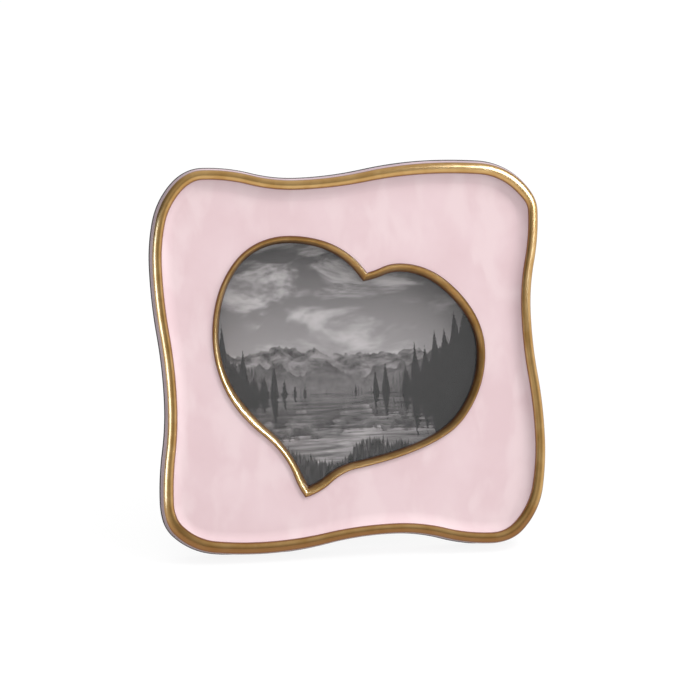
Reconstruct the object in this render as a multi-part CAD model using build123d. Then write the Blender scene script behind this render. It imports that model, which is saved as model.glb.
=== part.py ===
from build123d import *
import math
import os

# Heart window photo frame: a gilt casting filled with pink enamel, standing on an easel back.
# It is drawn lying face up, in mm: u to the right, v up, w out towards the viewer,
# with w = 0 on the back of the back board. It is stood on its easel at the end.

# Stance
LEAN = 14.0
OPEN = 28.0
FOOT_FLAT = 0.4

# Levels of the layers, as w
BOARD_FRONT = 3.0
SEAT = 7.0
WEB_FRONT = 9.0
FIELD = 10.0
RIM_BASE = 12.0
HEART_CREST = 11.3

# Distances from the crest of the outer rim, outwards
RIM_HALF = 1.8
CORE_OUT = 1.2
WALL_OUT = 2.6
BOARD_OUT = 3.0
VELVET_OUT = 2.0
DISH_RADIUS = 6.0

# Heart rim: how far each edge of its profile lies inside its outer line, and its level
HEART_OUTER = [(0.0, 10.5), (0.3, 11.1), (0.75, HEART_CREST)]
HEART_INNER = [(2.3, 8.3), (1.15, 11.12), (0.75, HEART_CREST)]

# Square stack behind the window: the print, the pocket round it, and what else lies in the pocket
STACK_V = -3.0
PRINT = 101.6
PRINT_ROOM = 1.4
GLASS_ROOM = 0.3
CARD_ROOM = 0.5
DOOR_ROOM = 0.4
POCKET = PRINT + 2 * PRINT_ROOM
GLASS = POCKET - 2 * GLASS_ROOM
CARD = POCKET - 2 * CARD_ROOM
DOOR = POCKET - 2 * DOOR_ROOM
GLASS_THICK = 2.0
PRINT_THICK = 0.3
VELVET = 0.5

# Turn buttons: places of the four pivots, and the shape of one
BUTTON_OUT = 6.3
BUTTON_U = POCKET / 2 + BUTTON_OUT
BUTTON_TOP_V = 24.0
BUTTON_LOW_V = -32.0
BUTTON_REACH = 13.0
BUTTON_ROOT = 4.0
BUTTON_TIP = 2.6
BUTTON_THICK = 1.2
RUN_GAP = 0.03
SCREW_R = 1.5
SCREW_HEAD = 2.8
SCREW_HEAD_TALL = 1.4
SCREW_END = 7.5
SLOT_HALF = 0.4
SLOT_DEEP = 0.6

# Easel hinge, drawn with the strut folded flat
PIN_V = 34.0
PIN_OUT = 2.2
PIN_R = 0.9
RUNNING = 0.05
KNUCKLE_R = 1.8
KNUCKLE_MID = 5.0
KNUCKLE_END = 13.0
LEAF_THICK = 0.8
LEAF_LONG = 13.0
LEAF_CLEAR = 2.4
RIVET_R = 1.1
RIVET_HEAD = 2.0
RIVET_TALL = 0.7
RIVET_V = 8.0
RIVET_DOOR_U = 8.0
RIVET_STRUT_U = 7.0
PIN_PAST = 0.7
PIN_CAP = 0.5
KNUCKLE_GAP = 0.2

# Easel strut
STRUT_GAP = 0.8
STRUT_SKIN = 0.4
STRUT_CORE = 1.6
STRUT_TOP = 12.5
STRUT_LOW = 23.0
STRUT_LONG = 102.2
STRUT_BARE = 3.0

# Ribbon stay: distances of its two bends from the hinge pin
STAY_DOOR = 70.0
STAY_STRUT = 80.0
STAY_TAB = 9.0
STAY_WIDE = 10.0
STAY_THICK = 0.3
EYELET_IN = 4.5
EYELET_R = 1.5
EYELET_BORE = 1.1
EYELET_FLANGE = 2.4
EYELET_TALL = 0.2

# Outlines: points on the curve, each with the curve's heading there in degrees.
# Two arcs that touch each other join each point to the next.
OUTLINE = [
    (66.0, 14.5, 90),
    (70.0, 51.5, 90),
    (65.0, 61.5, 135),
    (34.0, 69.0, 180),
    (-17.0, 64.5, 180),
    (-52.0, 69.5, 180),
    (-61.0, 65.5, 225),
    (-70.0, 37.0, 270),
    (-66.5, -14.5, 270),
    (-69.5, -51.5, 270),
    (-66.0, -62.0, 315),
    (-37.0, -69.3, 0),
    (14.5, -64.0, 0),
    (50.5, -69.3, 0),
    (60.5, -65.5, 45),
    (69.5, -33.5, 90),
    (66.0, 14.5, 90),
]
HEART_LEFT = [
    (7.5, 31.0, 125),
    (1.5, 38.0, 140),
    (-22.0, 45.5, 180),
    (-41.0, 37.0, 230),
    (-50.5, 8.5, 270),
    (-40.5, -20.5, 310),
    (-26.0, -36.0, 303),
    (-18.5, -51.0, 304),
]
HEART_RIGHT = [
    (-18.5, -51.0, 14),
    (1.0, -41.5, 10),
    (26.5, -34.5, 22),
    (42.0, -24.0, 52),
    (50.5, 0.5, 90),
    (36.5, 27.5, 140),
    (19.0, 34.0, 180),
    (7.5, 31.0, 192),
]


def unit(heading):
    """The unit vector that points along a heading in degrees."""
    return Vector(math.cos(math.radians(heading)), math.sin(math.radians(heading)))


def turn(start, end):
    """The turn from one heading to another, between -180 and 180 degrees."""
    return (end - start + 180) % 360 - 180


def arcs(points):
    """Pairs of touching arcs through the points, each as [centre, radius, first, last heading].

    The radius is positive where the curve turns left. The point at a heading h lies at
    centre + radius * (sin h, -cos h), and the same arc drawn s further left at radius - s.
    """
    found = []
    for (u0, v0, h0), (u1, v1, h1) in zip(points, points[1:]):
        p, q = Vector(u0, v0), Vector(u1, v1)
        s, t = unit(h0), unit(h1)
        chord = q - p
        bend = 2 * (1 - s.dot(t))
        run = 2 * chord.dot(s + t)
        reach = chord.dot(chord) / run
        if bend > 1e-9:
            reach = (math.sqrt(run**2 + 4 * bend * chord.dot(chord)) - run) / (2 * bend)
        meet = (p + q + (s - t) * reach) * 0.5
        across = (q - t * reach) - (p + s * reach)
        middle = math.degrees(math.atan2(across.Y, across.X))
        for start, end, first, last in ((p, meet, h0, middle), (meet, q, middle, h1)):
            left = unit(first + 90)
            step = end - start
            radius = step.dot(step) / (2 * step.dot(left))
            found.append([start + left * radius, radius, first, first + turn(first, last)])
    return found


def spot(arc, heading, inside, w):
    """The point of an arc at a heading, drawn further inside and at a level."""
    side = unit(heading - 90) * (arc[1] - inside)
    return arc[0] + side + Vector(0, 0, w)


def loop(curve, inside, w):
    """A closed wire of arcs, drawn further inside and at a level."""
    edges = []
    for arc in curve:
        first, last = arc[2], arc[3]
        ends = [spot(arc, h, inside, w) for h in (first, (first + last) / 2, last)]
        edges.append(ThreePointArc(*ends))
    return Wire(edges)


def corner(one, two, inside):
    """Turn the end of one arc and the start of the next to where they meet, drawn further inside."""
    near = spot(one, one[3], inside, 0)
    between = two[0] - one[0]
    r1, r2 = abs(one[1] - inside), abs(two[1] - inside)
    along = (between.length**2 + r1**2 - r2**2) / (2 * between.length)
    foot = one[0] + between.normalized() * along
    side = Vector(-between.Y, between.X).normalized() * math.sqrt(r1**2 - along**2)
    meet = min((foot + side, foot - side), key=lambda point: (point - near).length)
    ends = []
    for arc in (one, two):
        out = (meet - arc[0]) * (1 / (arc[1] - inside))
        ends.append(math.degrees(math.atan2(out.X, -out.Y)))
    one[3] = one[2] + turn(one[2], ends[0])
    two[2] = two[3] - turn(ends[1], two[3])


def outline(out, w):
    """The frame's outline, drawn further out than the crest of the rim."""
    return loop(arcs(OUTLINE), -out, w)


def heart(inside, w):
    """The heart's line, drawn further inside, with sharp corners at the cleft and the tip."""
    left, right = arcs(HEART_LEFT), arcs(HEART_RIGHT)
    corner(left[-1], right[0], inside)
    corner(right[-1], left[0], inside)
    return loop(left + right, inside, w)


def slab(wire, tall):
    """A solid of straight walls on a level wire."""
    return extrude(Face(wire), amount=tall, dir=(0, 0, 1))


def steps(line, edges):
    """A solid of sloping walls through the line drawn at each inset and level in turn."""
    faces = [Face(line(inside, w)) for inside, w in edges]
    solid = Part()
    for a, b in zip(faces, faces[1:]):
        solid += loft([a, b], ruled=True)
    return solid


def plate(wide, low, high, v=STACK_V, round_off=1.0):
    """A square plate with small round corners, between two levels."""
    sheet = RectangleRounded(wide, wide, round_off)
    return Pos(0, v, low) * extrude(sheet, amount=high - low)


def rod(u, v, low, high, radius):
    """A cylinder along w between two levels."""
    return Pos(u, v, (low + high) / 2) * Cylinder(radius, high - low)


def tube(first, last, radius):
    """A cylinder on the hinge pin's axis, between two places along u."""
    turned = Rot(0, 90, 0) * Cylinder(radius, last - first)
    return Pos((first + last) / 2, PIN_V, pin_w) * turned


def strut_sheet(skin, w0, w1, end):
    """The strut's tapered board grown by a skin, between two levels, down to an end."""
    foot = STRUT_TOP + (STRUT_LOW - STRUT_TOP) * (strut_head - end) / STRUT_LONG
    high = strut_head + skin
    ends = [(-STRUT_TOP - skin, high), (-foot - skin, end), (foot + skin, end), (STRUT_TOP + skin, high)]
    return Pos(0, 0, w0) * extrude(make_face(Polyline(*ends, close=True)), amount=w1 - w0)


def swung(v, w):
    """Where a point of the folded strut lies when the strut is open."""
    angle = math.radians(OPEN)
    dv, dw = v - PIN_V, w - pin_w
    return (
        PIN_V + dv * math.cos(angle) - dw * math.sin(angle),
        pin_w + dv * math.sin(angle) + dw * math.cos(angle),
    )


def block(u0, u1, v0, v1, w0, w1):
    """A box between two places along each direction."""
    return Pos((u0 + u1) / 2, (v0 + v1) / 2, (w0 + w1) / 2) * Box(u1 - u0, v1 - v0, w1 - w0)


back = -VELVET
pin_w = back - PIN_OUT
far = pin_w - KNUCKLE_R
strut_in = back - STRUT_GAP
strut_out = strut_in - 2 * STRUT_SKIN - STRUT_CORE
strut_head = PIN_V - LEAF_CLEAR - 0.4
nodes = {}
screw_spots = [(s * BUTTON_U, v) for v in (BUTTON_TOP_V, BUTTON_LOW_V) for s in (-1, 1)]
pocket_hole = plate(POCKET, -5, SEAT)
shanks = [rod(u, v, -5, SCREW_END, SCREW_R) for u, v in screw_spots]

# Frame casting: wavy block with a half-round outer rim, a dished front and the heart's rim
casting = slab(outline(CORE_OUT, BOARD_FRONT), RIM_BASE - BOARD_FRONT)
casting -= slab(outline(-RIM_HALF, WEB_FRONT), 10)
bead_start = spot(arcs(OUTLINE)[0], 90, 0, RIM_BASE)
bead_plane = Plane(origin=bead_start, x_dir=(1, 0, 0), z_dir=(0, 1, 0))
half_round = bead_plane * (Circle(RIM_HALF) - Pos(0, RIM_HALF) * Rectangle(4 * RIM_HALF, 2 * RIM_HALF))
casting += sweep(half_round, path=outline(0, RIM_BASE))
casting += slab(heart(0, WEB_FRONT), HEART_OUTER[0][1] - WEB_FRONT)
casting += steps(heart, HEART_OUTER)
casting -= slab(heart(HEART_INNER[0][0], SEAT - 1), HEART_INNER[0][1] - SEAT + 1)
casting -= steps(heart, HEART_INNER)
casting -= pocket_hole
casting -= shanks
nodes["frame_casting"] = casting

# Enamel field: fills the tray between the two rims and curves up to the outer one
rise = RIM_BASE - FIELD
sweep_in = math.sqrt(DISH_RADIUS**2 - (DISH_RADIUS - rise) ** 2)
dish = slab(outline(DISH_RADIUS - sweep_in - RIM_HALF, FIELD), 3 * rise + DISH_RADIUS)
dish = fillet(dish.faces().sort_by(Axis.Z)[0].edges(), DISH_RADIUS)
field = slab(outline(-RIM_HALF, WEB_FRONT), RIM_BASE - WEB_FRONT)
field -= dish
field -= slab(heart(0, WEB_FRONT - 1), 10)
nodes["enamel_field"] = field

# Enamel edge: the coat on the side wall, flaring a little towards the back
wall = loft([Face(outline(WALL_OUT, BOARD_FRONT)), Face(outline(RIM_HALF, RIM_BASE))], ruled=True)
nodes["enamel_edge"] = wall - slab(outline(CORE_OUT, BOARD_FRONT - 1), 20)

# Stack behind the window: glass, print, card and the door that closes the back
glass_back = SEAT - GLASS_THICK
print_back = glass_back - PRINT_THICK
nodes["window_glass"] = plate(GLASS, glass_back, SEAT)
nodes["photo_print"] = plate(PRINT, print_back, glass_back, round_off=0.2)
nodes["filler_card"] = plate(CARD, BOARD_FRONT, print_back)
door = plate(DOOR, 0, BOARD_FRONT)
door_skin = plate(DOOR, -VELVET, 0)

# Back board and its velvet
board = loft([Face(outline(BOARD_OUT, 0)), Face(outline(WALL_OUT, BOARD_FRONT))], ruled=True)
nodes["back_board"] = board - pocket_hole - shanks
nodes["board_velvet"] = slab(outline(VELVET_OUT, -VELVET), VELVET) - pocket_hole - shanks

# Turn buttons on slotted screws
under = -VELVET - RUN_GAP
over = under - BUTTON_THICK
hull = make_hull(Circle(BUTTON_ROOT).edges() + (Pos(BUTTON_REACH, 0) * Circle(BUTTON_TIP)).edges())
button = Pos(0, 0, over) * extrude(hull, amount=BUTTON_THICK)
button = chamfer(button.faces().sort_by(Axis.Z)[0].edges(), 0.3)
button -= rod(0, 0, -5, 5, SCREW_R + RUNNING)
names = ["turn_button_top_left", "turn_button_top_right", "turn_button_low_left", "turn_button_low_right"]
screws = []
for name, (u, v) in zip(names, screw_spots):
    facing = 0 if u < 0 else 180
    nodes[name] = Pos(u, v, 0) * Rot(0, 0, facing) * button
    head_low = over - RUN_GAP - SCREW_HEAD_TALL
    head = rod(u, v, head_low, over - RUN_GAP, SCREW_HEAD)
    head = chamfer(head.faces().sort_by(Axis.Z)[0].edges(), 0.4)
    head -= block(u - SLOT_HALF, u + SLOT_HALF, v - 4, v + 4, head_low - 1, head_low + SLOT_DEEP)
    screws.append(head + rod(u, v, over - RUN_GAP - 0.1, SCREW_END, SCREW_R))
nodes["turn_button_screws"] = Compound(screws)

# Easel hinge: two leaves rolled round a pin, with a rivet pair through each
pin_bore = tube(-20, 20, PIN_R)
strut_bore = tube(-20, 20, PIN_R + RUNNING)
leaf = block(-KNUCKLE_END, KNUCKLE_END, PIN_V + LEAF_CLEAR, PIN_V + LEAF_LONG, back - LEAF_THICK, back)
leaf += block(-KNUCKLE_MID, KNUCKLE_MID, PIN_V, PIN_V + LEAF_LONG / 2, back - LEAF_THICK, back)
leaf += tube(-KNUCKLE_MID, KNUCKLE_MID, KNUCKLE_R)
leaf -= pin_bore
door_rivets = []
for u in (-RIVET_DOOR_U, RIVET_DOOR_U):
    v = PIN_V + RIVET_V
    head = rod(u, v, back - LEAF_THICK - RIVET_TALL, back - LEAF_THICK, RIVET_HEAD)
    head = fillet(head.faces().sort_by(Axis.Z)[0].edges(), 0.5)
    door_rivets.append(head + rod(u, v, back - LEAF_THICK - 0.1, BOARD_FRONT / 2, RIVET_R))
    hole = rod(u, v, -5, BOARD_FRONT / 2, RIVET_R)
    leaf -= hole
    door -= hole
    door_skin -= hole
nodes["hinge_leaf_door"] = leaf
nodes["hinge_rivets_door"] = Compound(door_rivets)
pin_end = KNUCKLE_END + PIN_PAST
pin = tube(-pin_end, pin_end, PIN_R)
pin += tube(-pin_end, PIN_CAP - pin_end, 1.4 * PIN_R)
pin += tube(pin_end - PIN_CAP, pin_end, 1.4 * PIN_R)
nodes["hinge_pin"] = pin

# Moving leaf of the hinge, riveted to the outside of the strut, and the strut in its velvet sleeve
flap = block(-KNUCKLE_END, KNUCKLE_END, PIN_V - LEAF_LONG, PIN_V, far, far + LEAF_THICK)
notch = KNUCKLE_MID + KNUCKLE_GAP
flap += tube(-KNUCKLE_END, -notch, KNUCKLE_R)
flap += tube(notch, KNUCKLE_END, KNUCKLE_R)
flap -= block(-notch, notch, PIN_V - LEAF_CLEAR, PIN_V + 4, far - 1, back)
flap -= strut_bore
core_in, core_out = strut_in - STRUT_SKIN, strut_out + STRUT_SKIN
foot_v = strut_head - STRUT_LONG
strut = strut_sheet(0, core_out, core_in, foot_v - 10)
sleeve = strut_sheet(STRUT_SKIN, strut_out, strut_in, foot_v + STRUT_BARE) - strut
strut_rivets = []
for u in (-RIVET_STRUT_U, RIVET_STRUT_U):
    v = PIN_V - RIVET_V
    head = rod(u, v, far - RIVET_TALL, far, RIVET_HEAD)
    head = fillet(head.faces().sort_by(Axis.Z)[0].edges(), 0.5)
    shank = rod(u, v, far - 0.1, core_in, RIVET_R)
    strut_rivets.append(head + shank)
    flap -= shank
    strut -= shank
    sleeve -= shank

# Ribbon stay between the door and the strut, with an eyelet through each glued end
door_line = back - STAY_THICK / 2
strut_line = strut_in + STAY_THICK / 2 + RUN_GAP
bends = [
    (PIN_V - STAY_DOOR + STAY_TAB, door_line),
    (PIN_V - STAY_DOOR, door_line),
    swung(PIN_V - STAY_STRUT, strut_line),
    swung(PIN_V - STAY_STRUT + STAY_TAB, strut_line),
]
strip = offset(Plane.YZ * Polyline(*bends), STAY_THICK / 2, kind=Kind.INTERSECTION, side=Side.BOTH)
ribbon = extrude(make_face(strip.edges()), amount=STAY_WIDE / 2, both=True)
door_eye_v = PIN_V - STAY_DOOR + EYELET_IN
strut_eye_v = PIN_V - STAY_STRUT + EYELET_IN
door_top = back - STAY_THICK
strut_top = strut_in + STAY_THICK + 2 * RUN_GAP
door_hole = rod(0, door_eye_v, door_top - 1, 2, EYELET_R)
strut_hole = rod(0, strut_eye_v, core_out, strut_top + 1, EYELET_R)
door_eye = rod(0, door_eye_v, door_top - EYELET_TALL, door_top, EYELET_FLANGE)
door_eye += rod(0, door_eye_v, door_top - 0.1, 2, EYELET_R)
nodes["ribbon_eyelet_door"] = door_eye - rod(0, door_eye_v, -5, 5, EYELET_BORE)
strut_eye = rod(0, strut_eye_v, strut_top, strut_top + EYELET_TALL, EYELET_FLANGE)
strut_eye += rod(0, strut_eye_v, core_out, strut_top + 0.1, EYELET_R)
strut_eye -= rod(0, strut_eye_v, -9, 5, EYELET_BORE)
strut -= strut_hole
sleeve -= strut_hole
nodes["door_panel"] = door - door_hole
nodes["door_velvet"] = door_skin - door_hole

# Swing the strut out to its stop
hinge_axis = Axis((0, PIN_V, pin_w), (1, 0, 0))
moving = {
    "hinge_leaf_strut": flap,
    "hinge_rivets_strut": Compound(strut_rivets),
    "easel_strut": strut,
    "strut_velvet": sleeve,
    "ribbon_eyelet_strut": strut_eye,
}
for name, shape in moving.items():
    nodes[name] = shape.rotate(hinge_axis, OPEN)
loose_hole = rod(0, strut_eye_v, core_out, strut_top + 1, EYELET_R + RUNNING)
nodes["ribbon_stay"] = ribbon - door_hole - loose_hole.rotate(hinge_axis, OPEN)

# Stand the frame on the floor at its lean, cut the flats it rests on, and centre it
tilt = math.radians(LEAN)
lowest = outline(BOARD_OUT, 0).bounding_box().min.Y
lift = -lowest * math.cos(tilt) - FOOT_FLAT
stance = Plane(origin=(0, 0, lift), x_dir=(1, 0, 0), z_dir=(0, -math.cos(tilt), math.sin(tilt)))
placed = {name: stance.location * shape for name, shape in nodes.items()}
floor = Pos(0, 0, -50) * Box(400, 400, 100)
placed["back_board"] -= floor
placed["easel_strut"] -= floor
bounds = Compound(list(placed.values())).bounding_box()
centre = Pos(-bounds.center().X, -bounds.center().Y, 0)

os.makedirs("parts", exist_ok=True)
for name, shape in placed.items():
    export_step(centre * shape, f"parts/{name}.step")
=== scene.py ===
import bpy
import numpy as np
from mathutils import Matrix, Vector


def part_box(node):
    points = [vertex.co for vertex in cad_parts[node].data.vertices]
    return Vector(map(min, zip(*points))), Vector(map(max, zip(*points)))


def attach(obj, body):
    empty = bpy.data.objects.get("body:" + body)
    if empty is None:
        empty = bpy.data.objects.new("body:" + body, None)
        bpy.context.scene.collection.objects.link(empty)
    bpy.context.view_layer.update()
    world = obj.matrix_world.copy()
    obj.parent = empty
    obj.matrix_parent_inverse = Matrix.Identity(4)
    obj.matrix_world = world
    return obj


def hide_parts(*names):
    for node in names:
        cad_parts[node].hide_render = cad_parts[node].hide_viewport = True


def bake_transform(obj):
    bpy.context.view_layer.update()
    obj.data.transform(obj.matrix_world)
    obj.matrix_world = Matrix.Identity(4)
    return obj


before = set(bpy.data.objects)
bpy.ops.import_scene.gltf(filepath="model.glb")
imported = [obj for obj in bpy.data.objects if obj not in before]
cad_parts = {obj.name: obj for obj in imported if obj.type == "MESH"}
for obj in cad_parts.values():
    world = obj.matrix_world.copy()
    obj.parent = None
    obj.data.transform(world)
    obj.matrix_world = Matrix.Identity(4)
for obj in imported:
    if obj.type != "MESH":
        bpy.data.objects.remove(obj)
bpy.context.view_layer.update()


# Camera: a long lens in front of the leaning face, a little to its left and above its square line.
# Its place, roll, focal length and shift lay the drawn outline on the photographed one.
LEAN = np.radians(14.0)
ACROSS = np.array([1.0, 0.0, 0.0])
UP_FACE = np.array([0.0, np.sin(LEAN), np.cos(LEAN)])
OUT_FACE = np.array([0.0, -np.cos(LEAN), np.sin(LEAN)])
PIN_V, PIN_W = 34.0, -2.7
pin_box = np.array([list(corner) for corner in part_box("hinge_pin")])
FACE_ORIGIN = pin_box.mean(axis=0) * 1000 - PIN_V * UP_FACE - PIN_W * OUT_FACE
VIEW_TURN, VIEW_RISE, VIEW_ROLL = np.radians([-3.8, 1.6, -2.307])
VIEW_AIM = np.array([-1.33, 0.26, 13.8])
VIEW_FAR = 1200.0
PIXELS_PER_MM, IMAGE_PIXELS = 2.705, 700
SHIFT_PIXELS = (2.9, 7.0)
SENSOR_MM = 36.0
NEAR_CLIP = 0.01


def stand(u, v, w):
    """Points of the row frame, in metres, of places on the leaning face in mm: the face's origin
    plus u to the right, v up the face and w out of it."""
    u, v, w = np.broadcast_arrays(u, v, w)
    placed = FACE_ORIGIN + u[..., None] * ACROSS + v[..., None] * UP_FACE + w[..., None] * OUT_FACE
    return placed / 1000


def hang(thing, place, axes):
    """Put a camera or a lamp into the scene at a place on the face, with its own x, y and z along
    three directions of the row frame."""
    pose = np.eye(4)
    pose[:3, :3] = np.stack(axes, axis=1)
    pose[:3, 3] = stand(*place)
    thing.matrix_world = Matrix(pose.tolist())
    bpy.context.scene.collection.objects.link(thing)


towards = np.array([np.sin(VIEW_TURN) * np.cos(VIEW_RISE), np.sin(VIEW_RISE),
                    np.cos(VIEW_TURN) * np.cos(VIEW_RISE)])
level = np.cross(-towards, [0.0, 1.0, 0.0])
level /= np.linalg.norm(level)
upright = np.cross(level, -towards)
rolled_level = level * np.cos(VIEW_ROLL) + upright * np.sin(VIEW_ROLL)
rolled_upright = upright * np.cos(VIEW_ROLL) - level * np.sin(VIEW_ROLL)
face_axes = np.stack([ACROSS, UP_FACE, OUT_FACE], axis=1)
view_axes = [face_axes @ axis for axis in (rolled_level, rolled_upright, towards)]
camera_data = bpy.data.cameras.new("photo_camera")
camera_data.sensor_width = SENSOR_MM
camera_data.lens = PIXELS_PER_MM * VIEW_FAR * SENSOR_MM / IMAGE_PIXELS
camera_data.shift_x, camera_data.shift_y = (pixels / IMAGE_PIXELS for pixels in SHIFT_PIXELS)
camera_data.clip_start = NEAR_CLIP
camera = bpy.data.objects.new("photo_camera", camera_data)
hang(camera, VIEW_AIM + VIEW_FAR * towards, view_axes)
bpy.context.scene.camera = camera


# Floor and light: a plain white studio floor in a white room that is dimmer on the camera's side,
# with a key lamp high on the right, a weaker box lower down, and three small cards for the rims
FLOOR_HALF = 6.0
FLOOR_BOUNCE, FLOOR_SEEN, FLOOR_GLOW = "#A8A8A8", "#6A6A6A", 0.88
ROOM_FILL = 1.17


def paint(code):
    """Linear RGBA of an sRGB hex colour: each channel is c/12.92 below 0.04045 and
    ((c + 0.055)/1.055)^2.4 above it."""
    c = np.array([int(code[i:i + 2], 16) / 255 for i in (1, 3, 5)])
    linear = np.where(c <= 0.04045, c / 12.92, ((c + 0.055) / 1.055) ** 2.4)
    return (*linear.tolist(), 1.0)


def node(tree, kind, inputs=(), **settings):
    """Add a node with its settings. Its inputs are named, or listed in the node's own order. Each is
    linked where it is given a socket, or a node, whose first output in use is then meant, and set
    where it is given a value."""
    made = tree.nodes.new("ShaderNode" + kind)
    for key, value in settings.items():
        setattr(made, key, value)
    for key, value in inputs.items() if isinstance(inputs, dict) else enumerate(inputs):
        if isinstance(value, bpy.types.Node):
            value = next(output for output in value.outputs if output.enabled)
        if isinstance(value, bpy.types.NodeSocket):
            tree.links.new(value, made.inputs[key])
        else:
            made.inputs[key].default_value = value
    return made


def blank_tree(owner):
    """The node tree of a new material or world, emptied."""
    owner.use_nodes = True
    owner.node_tree.nodes.clear()
    return owner.node_tree


corners = np.array([[-1, -1, 0], [1, -1, 0], [1, 1, 0], [-1, 1, 0]]) * FLOOR_HALF
floor_mesh = bpy.data.meshes.new("studio_floor")
floor_mesh.from_pydata(corners.tolist(), [], [(0, 1, 2, 3)])
floor = bpy.data.objects.new("studio_floor", floor_mesh)
bpy.context.scene.collection.objects.link(floor)
# White seamless paper: matt, and bright enough to read as the white of a product picture. It glows
# where it is seen or mirrored, and throws light on matt surfaces as a plain light grey does.
paper = bpy.data.materials.new("white_seamless_paper")
tree = blank_tree(paper)
path = node(tree, "LightPath").outputs
seen = node(tree, "Math", [path["Is Camera Ray"], path["Is Glossy Ray"]], operation="MAXIMUM")
seen = node(tree, "Math", [seen, path["Is Transmission Ray"]], operation="MAXIMUM")
matt = node(tree, "BsdfDiffuse", {"Color": paint(FLOOR_BOUNCE)})
dim = node(tree, "BsdfDiffuse", {"Color": paint(FLOOR_SEEN)})
glow = node(tree, "Emission", {"Color": (1, 1, 1, 1), "Strength": FLOOR_GLOW})
lit = node(tree, "AddShader", [dim, glow])
mixed = node(tree, "MixShader", [seen, matt, lit])
node(tree, "OutputMaterial", {"Surface": mixed})
floor_mesh.materials.append(paper)

# The room: white where it is seen and behind the object, dimmer on the camera's side, where a soft
# light patch lies high on the left and another low on the right, and darkest far to the left
world = bpy.data.worlds.new("studio_room")
bpy.context.scene.world = world
tree = blank_tree(world)
path = node(tree, "LightPath").outputs
toward = node(tree, "TexCoord").outputs["Generated"]
axes = node(tree, "SeparateXYZ", [toward]).outputs
high_left = node(tree, "VectorMath", [toward, (-0.7, 0.0, 0.7)], operation="DOT_PRODUCT")
front = node(tree, "MapRange", {"Value": high_left, "From Min": -0.15, "From Max": 0.5, "To Min": 0.22,
                                "To Max": 0.66}, interpolation_type="SMOOTHSTEP")
back = node(tree, "MapRange", {"Value": axes["Y"], "From Min": -0.4, "From Max": 0.75, "To Min": front,
                               "To Max": 1.0}, interpolation_type="SMOOTHSTEP")
low_right = node(tree, "VectorMath", [toward, (0.9, 0.0, -0.45)], operation="DOT_PRODUCT")
right = node(tree, "MapRange", {"Value": low_right, "From Min": 0.3, "From Max": 0.9, "To Min": 0.0,
                                "To Max": 1.25}, interpolation_type="SMOOTHSTEP")
left = node(tree, "MapRange", {"Value": axes["X"], "From Min": -1.0, "From Max": -0.1, "To Min": 0.12,
                               "To Max": 1.0}, interpolation_type="SMOOTHSTEP")
room = node(tree, "Math", [back, right], operation="MAXIMUM")
room = node(tree, "Math", [room, left], operation="MULTIPLY")
fill = node(tree, "Math", [left, ROOM_FILL], operation="MULTIPLY")
shown = node(tree, "Math", [path["Is Camera Ray"], path["Is Transmission Ray"]], operation="MAXIMUM")
gloss = node(tree, "Mix", {"Factor": path["Is Glossy Ray"], "A": fill, "B": room})
strength = node(tree, "Mix", {"Factor": shown, "A": gloss, "B": 1.0})
air = node(tree, "Background", {"Color": (1, 1, 1, 1), "Strength": strength})
node(tree, "OutputWorld", {"Surface": air})

# Lamps: name, place and aim in the face's own u, v, w, size across and up in metres, watts, angle of
# the honeycomb, colour, and the rim that mirrors it. A polarising sheet keeps the glare of the two
# boxes off everything shiny. The cards are small and bluer, and each shows only in its own rim.
LAMPS = [
    ("key_box", (850, 1250, 900), (0, 0, 0), 0.48, 0.48, 10.3, 180, "#FFFFFF", None),
    ("side_box", (1400, 100, 800), (0, 0, 0), 0.25, 0.25, 3.0, 180, "#FFFFFF", None),
    ("right_card", (97, 79, 59), (69, 56, 13), 0.08, 0.08, 0.055, 46, "#B4CAFF", "outer_rim"),
    ("left_card", (-102, 3, 35), (-68, 3, 13), 0.036, 0.11, 0.012, 48, "#A9C6FF", "outer_rim"),
    ("heart_card", (62, 37, 108), (-35, -25, 11), 0.06, 0.06, 0.135, 40, "#9DBEFF", "heart_rim"),
]
for name, place, aim, wide, tall, watts, spread, colour, rim in LAMPS:
    lamp = bpy.data.lights.new(name, "AREA")
    lamp.shape = "RECTANGLE"
    lamp.size, lamp.size_y, lamp.energy = wide, tall, watts
    lamp.spread, lamp.color = np.radians(spread), paint(colour)[:3]
    held = bpy.data.objects.new(name, lamp)
    held.visible_camera, held.visible_diffuse, held.visible_glossy = False, rim is None, rim is not None
    out = stand(*place) - stand(*aim)
    out /= np.linalg.norm(out)
    side = np.cross(UP_FACE, out)
    side /= np.linalg.norm(side)
    hang(held, place, [side, np.cross(out, side), out])
bpy.context.scene.view_settings.view_transform = "Standard"


# Frame casting: one wavy block of cast brass with a half-round outer rim, polished and gold plated.
# Only its two rims show, because enamel covers the block between them and the side wall.
# The outline is the crest of the rim: points in u and v, each with the heading there in degrees.
OUTLINE = np.array([
    (66.0, 14.5, 90), (70.0, 51.5, 90), (65.0, 61.5, 135), (34.0, 69.0, 180), (-17.0, 64.5, 180),
    (-52.0, 69.5, 180), (-61.0, 65.5, 225), (-70.0, 37.0, 270), (-66.5, -14.5, 270),
    (-69.5, -51.5, 270), (-66.0, -62.0, 315), (-37.0, -69.3, 0), (14.5, -64.0, 0), (50.5, -69.3, 0),
    (60.5, -65.5, 45), (69.5, -33.5, 90), (66.0, 14.5, 90)])
# How much broader the rim is at each point of the outline, on its inner side
RIM_SPREAD = np.array([0.0, 0.0, 0.6, 0.5, 0.0, 0.0, 0.15, 0.0, 0.0, 0.3, 0.9, 0.6, 0.0, 0.3, 0.7, 0.1, 0.0])
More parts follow.
